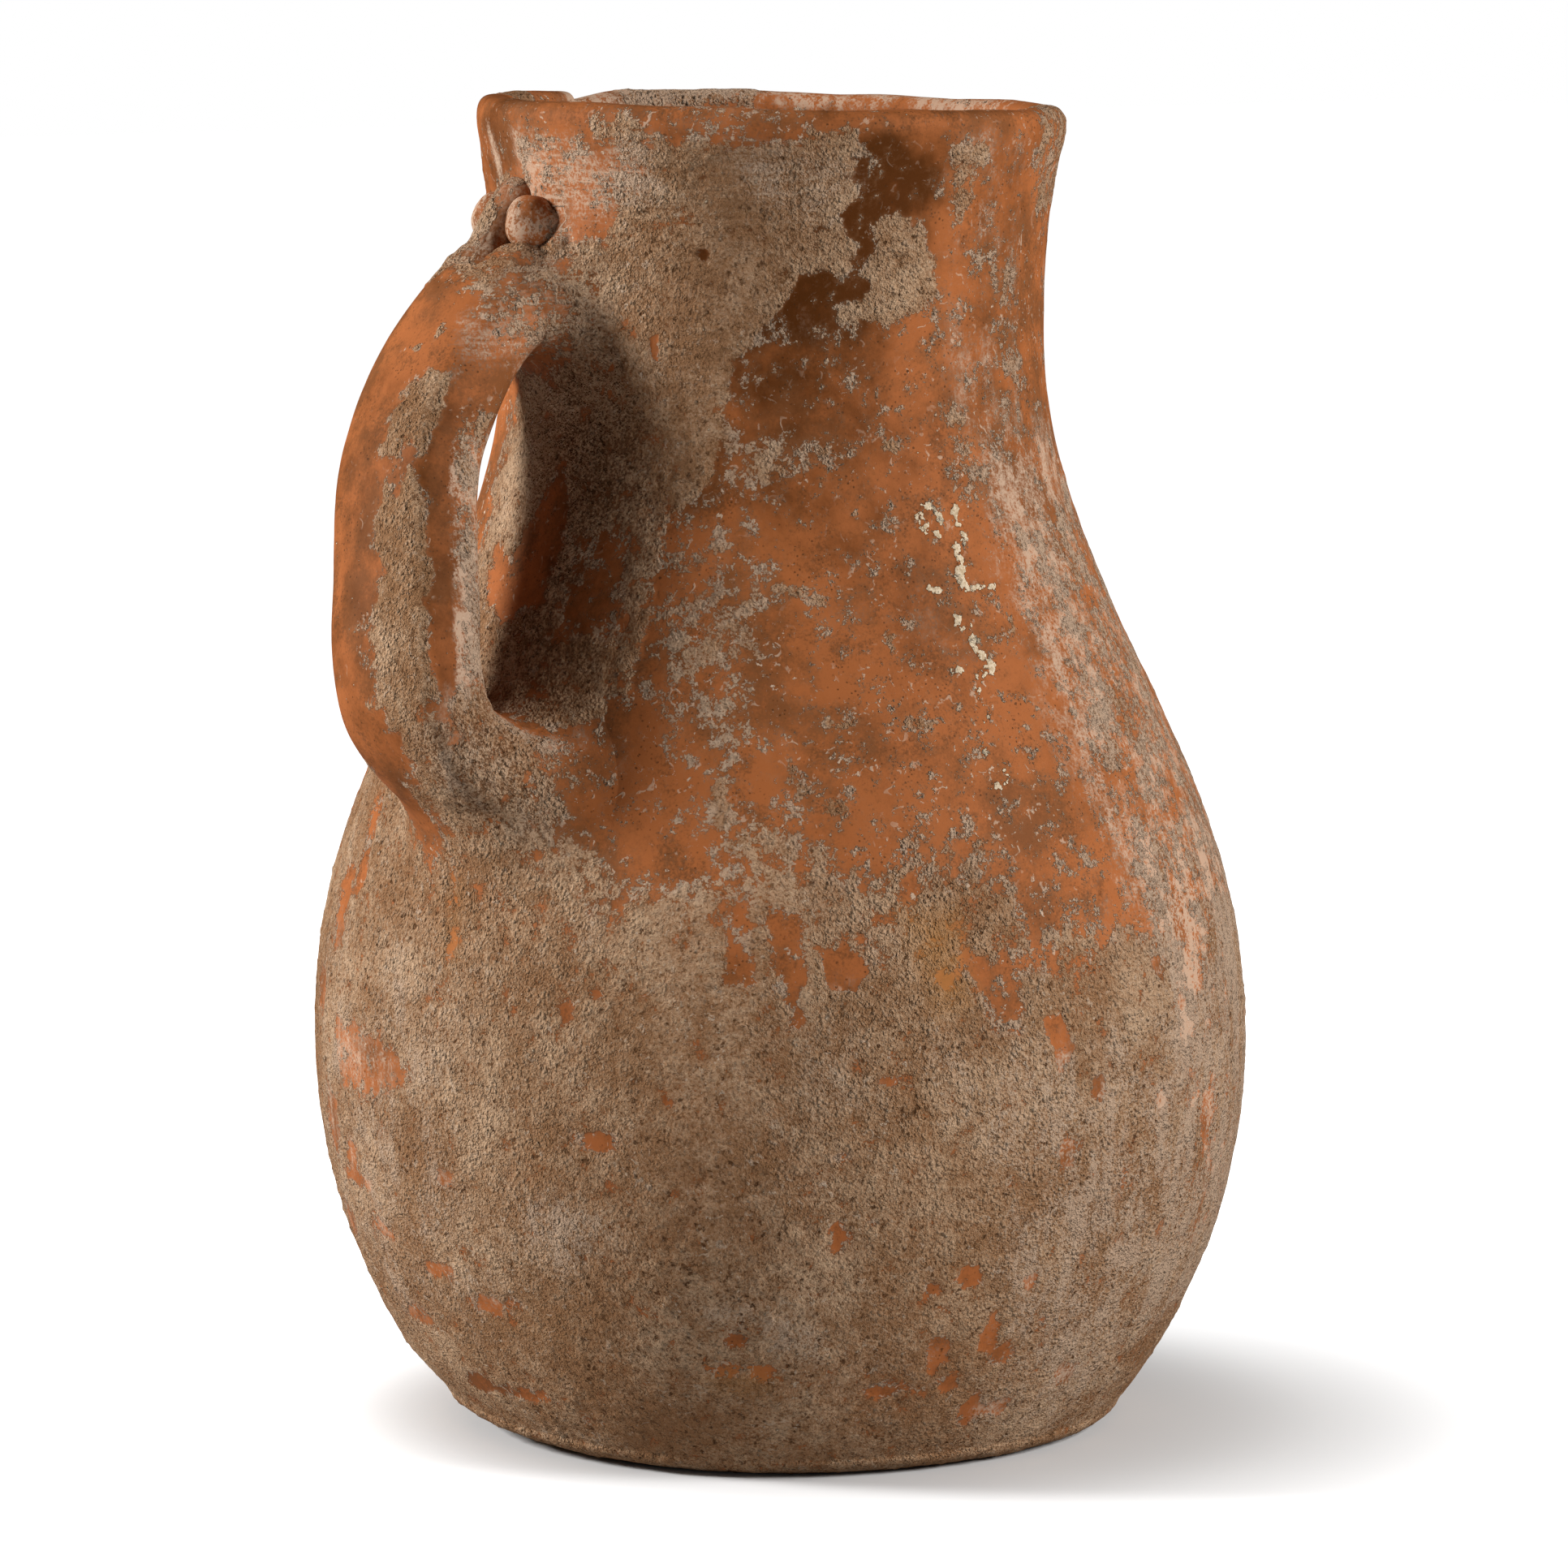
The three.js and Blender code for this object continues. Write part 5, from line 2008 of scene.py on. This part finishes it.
@dataclass(frozen=True)
class Studio:
    """The pale floor, the soft lamps and the camera."""

    lamps: tuple[Lamp, ...] = (
        Lamp("key_box", -85.0, 22.0, 1.2, 0.28, 1.35),
        Lamp("fill_box", 64.0, 25.0, 1.3, 0.5, 1.08),
    )
    lamp_aim: float = 0.13  # height that the lamps point at
    ambient: float = 0.02
    floor_half: float = 6.0
    floor_grey: float = 0.5  # as light bounces off it
    floor_pale: float = 0.75  # as the camera sees it
    floor_glow: float = 0.12  # in the middle of the shadow
    shadow_turn: float = 75.0  # the shadow's middle, from the axis
    shadow_out: float = 0.045
    white_start: float = 0.035  # metres from the shadow's middle
    white_full: float = 0.15
    foot_dark: float = 0.058  # metres from the axis
    foot_clear: float = 0.11
    camera_distance: float = 1.3687
    camera_height: float = 0.3024
    camera_pitch: float = 7.375
    camera_lens: float = 160.15
    sensor: float = 36.0

    def build(self) -> None:
        """Makes the floor, the world, the lamps and the camera."""
        self.floor()
        self.world()
        for lamp in self.lamps:
            lamp.light(Vector((0.0, 0.0, self.lamp_aim)))
        self.camera()
        bpy.context.scene.view_settings.view_transform = "Standard"

    def floor(self) -> None:
        """A level floor that keeps shadows and glows towards white for the camera.

        The camera sees white paper with a glow added, which is none under the jug, weak in the
        middle of its shadow and full white farther out. Light bounces off greyer paper.
        """
        half = self.floor_half
        mesh = bpy.data.meshes.new("floor")
        corners = [(-half, -half, 0.0), (half, -half, 0.0), (half, half, 0.0), (-half, half, 0.0)]
        mesh.from_pydata(corners, [], [(0, 1, 2, 3)])
        floor = bpy.data.objects.new("floor", mesh)
        bpy.context.scene.collection.objects.link(floor)
        material = bpy.data.materials.new("floor_paper")
        material.use_nodes = True
        sheet = NodeSheet(material.node_tree)
        seen = Value(sheet, sheet.node("ShaderNodeLightPath").outputs["Is Camera Ray"])
        bearing = math.radians(FRONT_BEARING + self.shadow_turn)
        shade = (self.shadow_out * math.cos(bearing), self.shadow_out * math.sin(bearing), 0.0)
        from_shade = self.distance(sheet, shade).smooth(self.white_start, self.white_full)
        glow = self.floor_glow + from_shade * (1.0 - self.floor_glow)
        glow = glow * self.distance(sheet, (0.0, 0.0, 0.0)).smooth(self.foot_dark, self.foot_clear)
        grey = sheet.mix(seen, (self.floor_grey,) * 3, (self.floor_pale,) * 3)
        paper = sheet.node("ShaderNodeBsdfDiffuse", None, {"Color": grey})
        light = sheet.node("ShaderNodeEmission", None, {"Color": glow * seen, "Strength": 1.0})
        both = sheet.node("ShaderNodeAddShader", None, {0: paper.outputs[0], 1: light.outputs[0]})
        sheet.node("ShaderNodeOutputMaterial", None, {"Surface": both.outputs[0]})
        mesh.materials.append(material)

    @staticmethod
    def distance(sheet: NodeSheet, centre: tuple[float, float, float]) -> Value:
        """Distance over the floor from a point of it.

        Args:
            sheet: the floor's nodes.
            centre: the point.

        Returns:
            The distance, in metres.
        """
        place = sheet.node("ShaderNodeTexCoord").outputs["Object"]
        node = sheet.node("ShaderNodeVectorMath", {"operation": "DISTANCE"}, {0: place, 1: centre})
        return Value(sheet, node.outputs["Value"])

    def world(self) -> None:
        """White where the camera looks past the floor, and a weak even light elsewhere."""
        world = bpy.data.worlds.new("studio")
        world.use_nodes = True
        bpy.context.scene.world = world
        sheet = NodeSheet(world.node_tree)
        seen = Value(sheet, sheet.node("ShaderNodeLightPath").outputs["Is Camera Ray"])
        brightness = self.ambient + seen * (1.0 - self.ambient)
        sky = sheet.node("ShaderNodeBackground", None, {"Color": brightness, "Strength": 1.0})
        sheet.node("ShaderNodeOutputWorld", None, {"Surface": sky.outputs[0]})

    def camera(self) -> None:
        """The photograph's viewpoint: a little above the rim and looking a little down."""
        bearing = math.radians(FRONT_BEARING)
        data = bpy.data.cameras.new("camera")
        data.lens, data.sensor_width = self.camera_lens, self.sensor
        camera = bpy.data.objects.new("camera", data)
        out = self.camera_distance
        camera.location = (out * math.cos(bearing), out * math.sin(bearing), self.camera_height)
        tilt, heading = math.radians(90.0 - self.camera_pitch), bearing + math.radians(90.0)
        camera.rotation_euler = (tilt, 0.0, heading)
        bpy.context.scene.collection.objects.link(camera)
        bpy.context.scene.camera = camera


def place_piece(node: str, skin: Skin, material: bpy.types.Material) -> None:
    """Makes a piece of the jug and sets it in the frame.

    Args:
        node: the CAD node that it stands for.
        skin: its surface.
        material: that finish.
    """
    name = f"{node}_surface"
    mesh = skin.mesh(name)
    mesh.materials.append(material)
    piece = bpy.data.objects.new(name, mesh)
    bpy.context.scene.collection.objects.link(piece)
    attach(piece, "root")
    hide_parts(node)
    log.info("%s: %d faces", name, len(mesh.polygons))


def main() -> None:
    """Builds the studio and every piece of the jug."""
    logging.basicConfig(level=logging.INFO, format="%(name)s %(message)s")
    Studio().build()
    finish = CrustedClay()
    materials = {slot: finish.material(slot.value) for slot in Slot}
    vessel = Vessel()
    handle = Handle(vessel)
    for assembly in (vessel, handle, Dressing(handle)):
        for node, skin, slot in assembly.pieces():
            place_piece(node, skin, materials[slot])


if __name__ == "__main__":
    main()
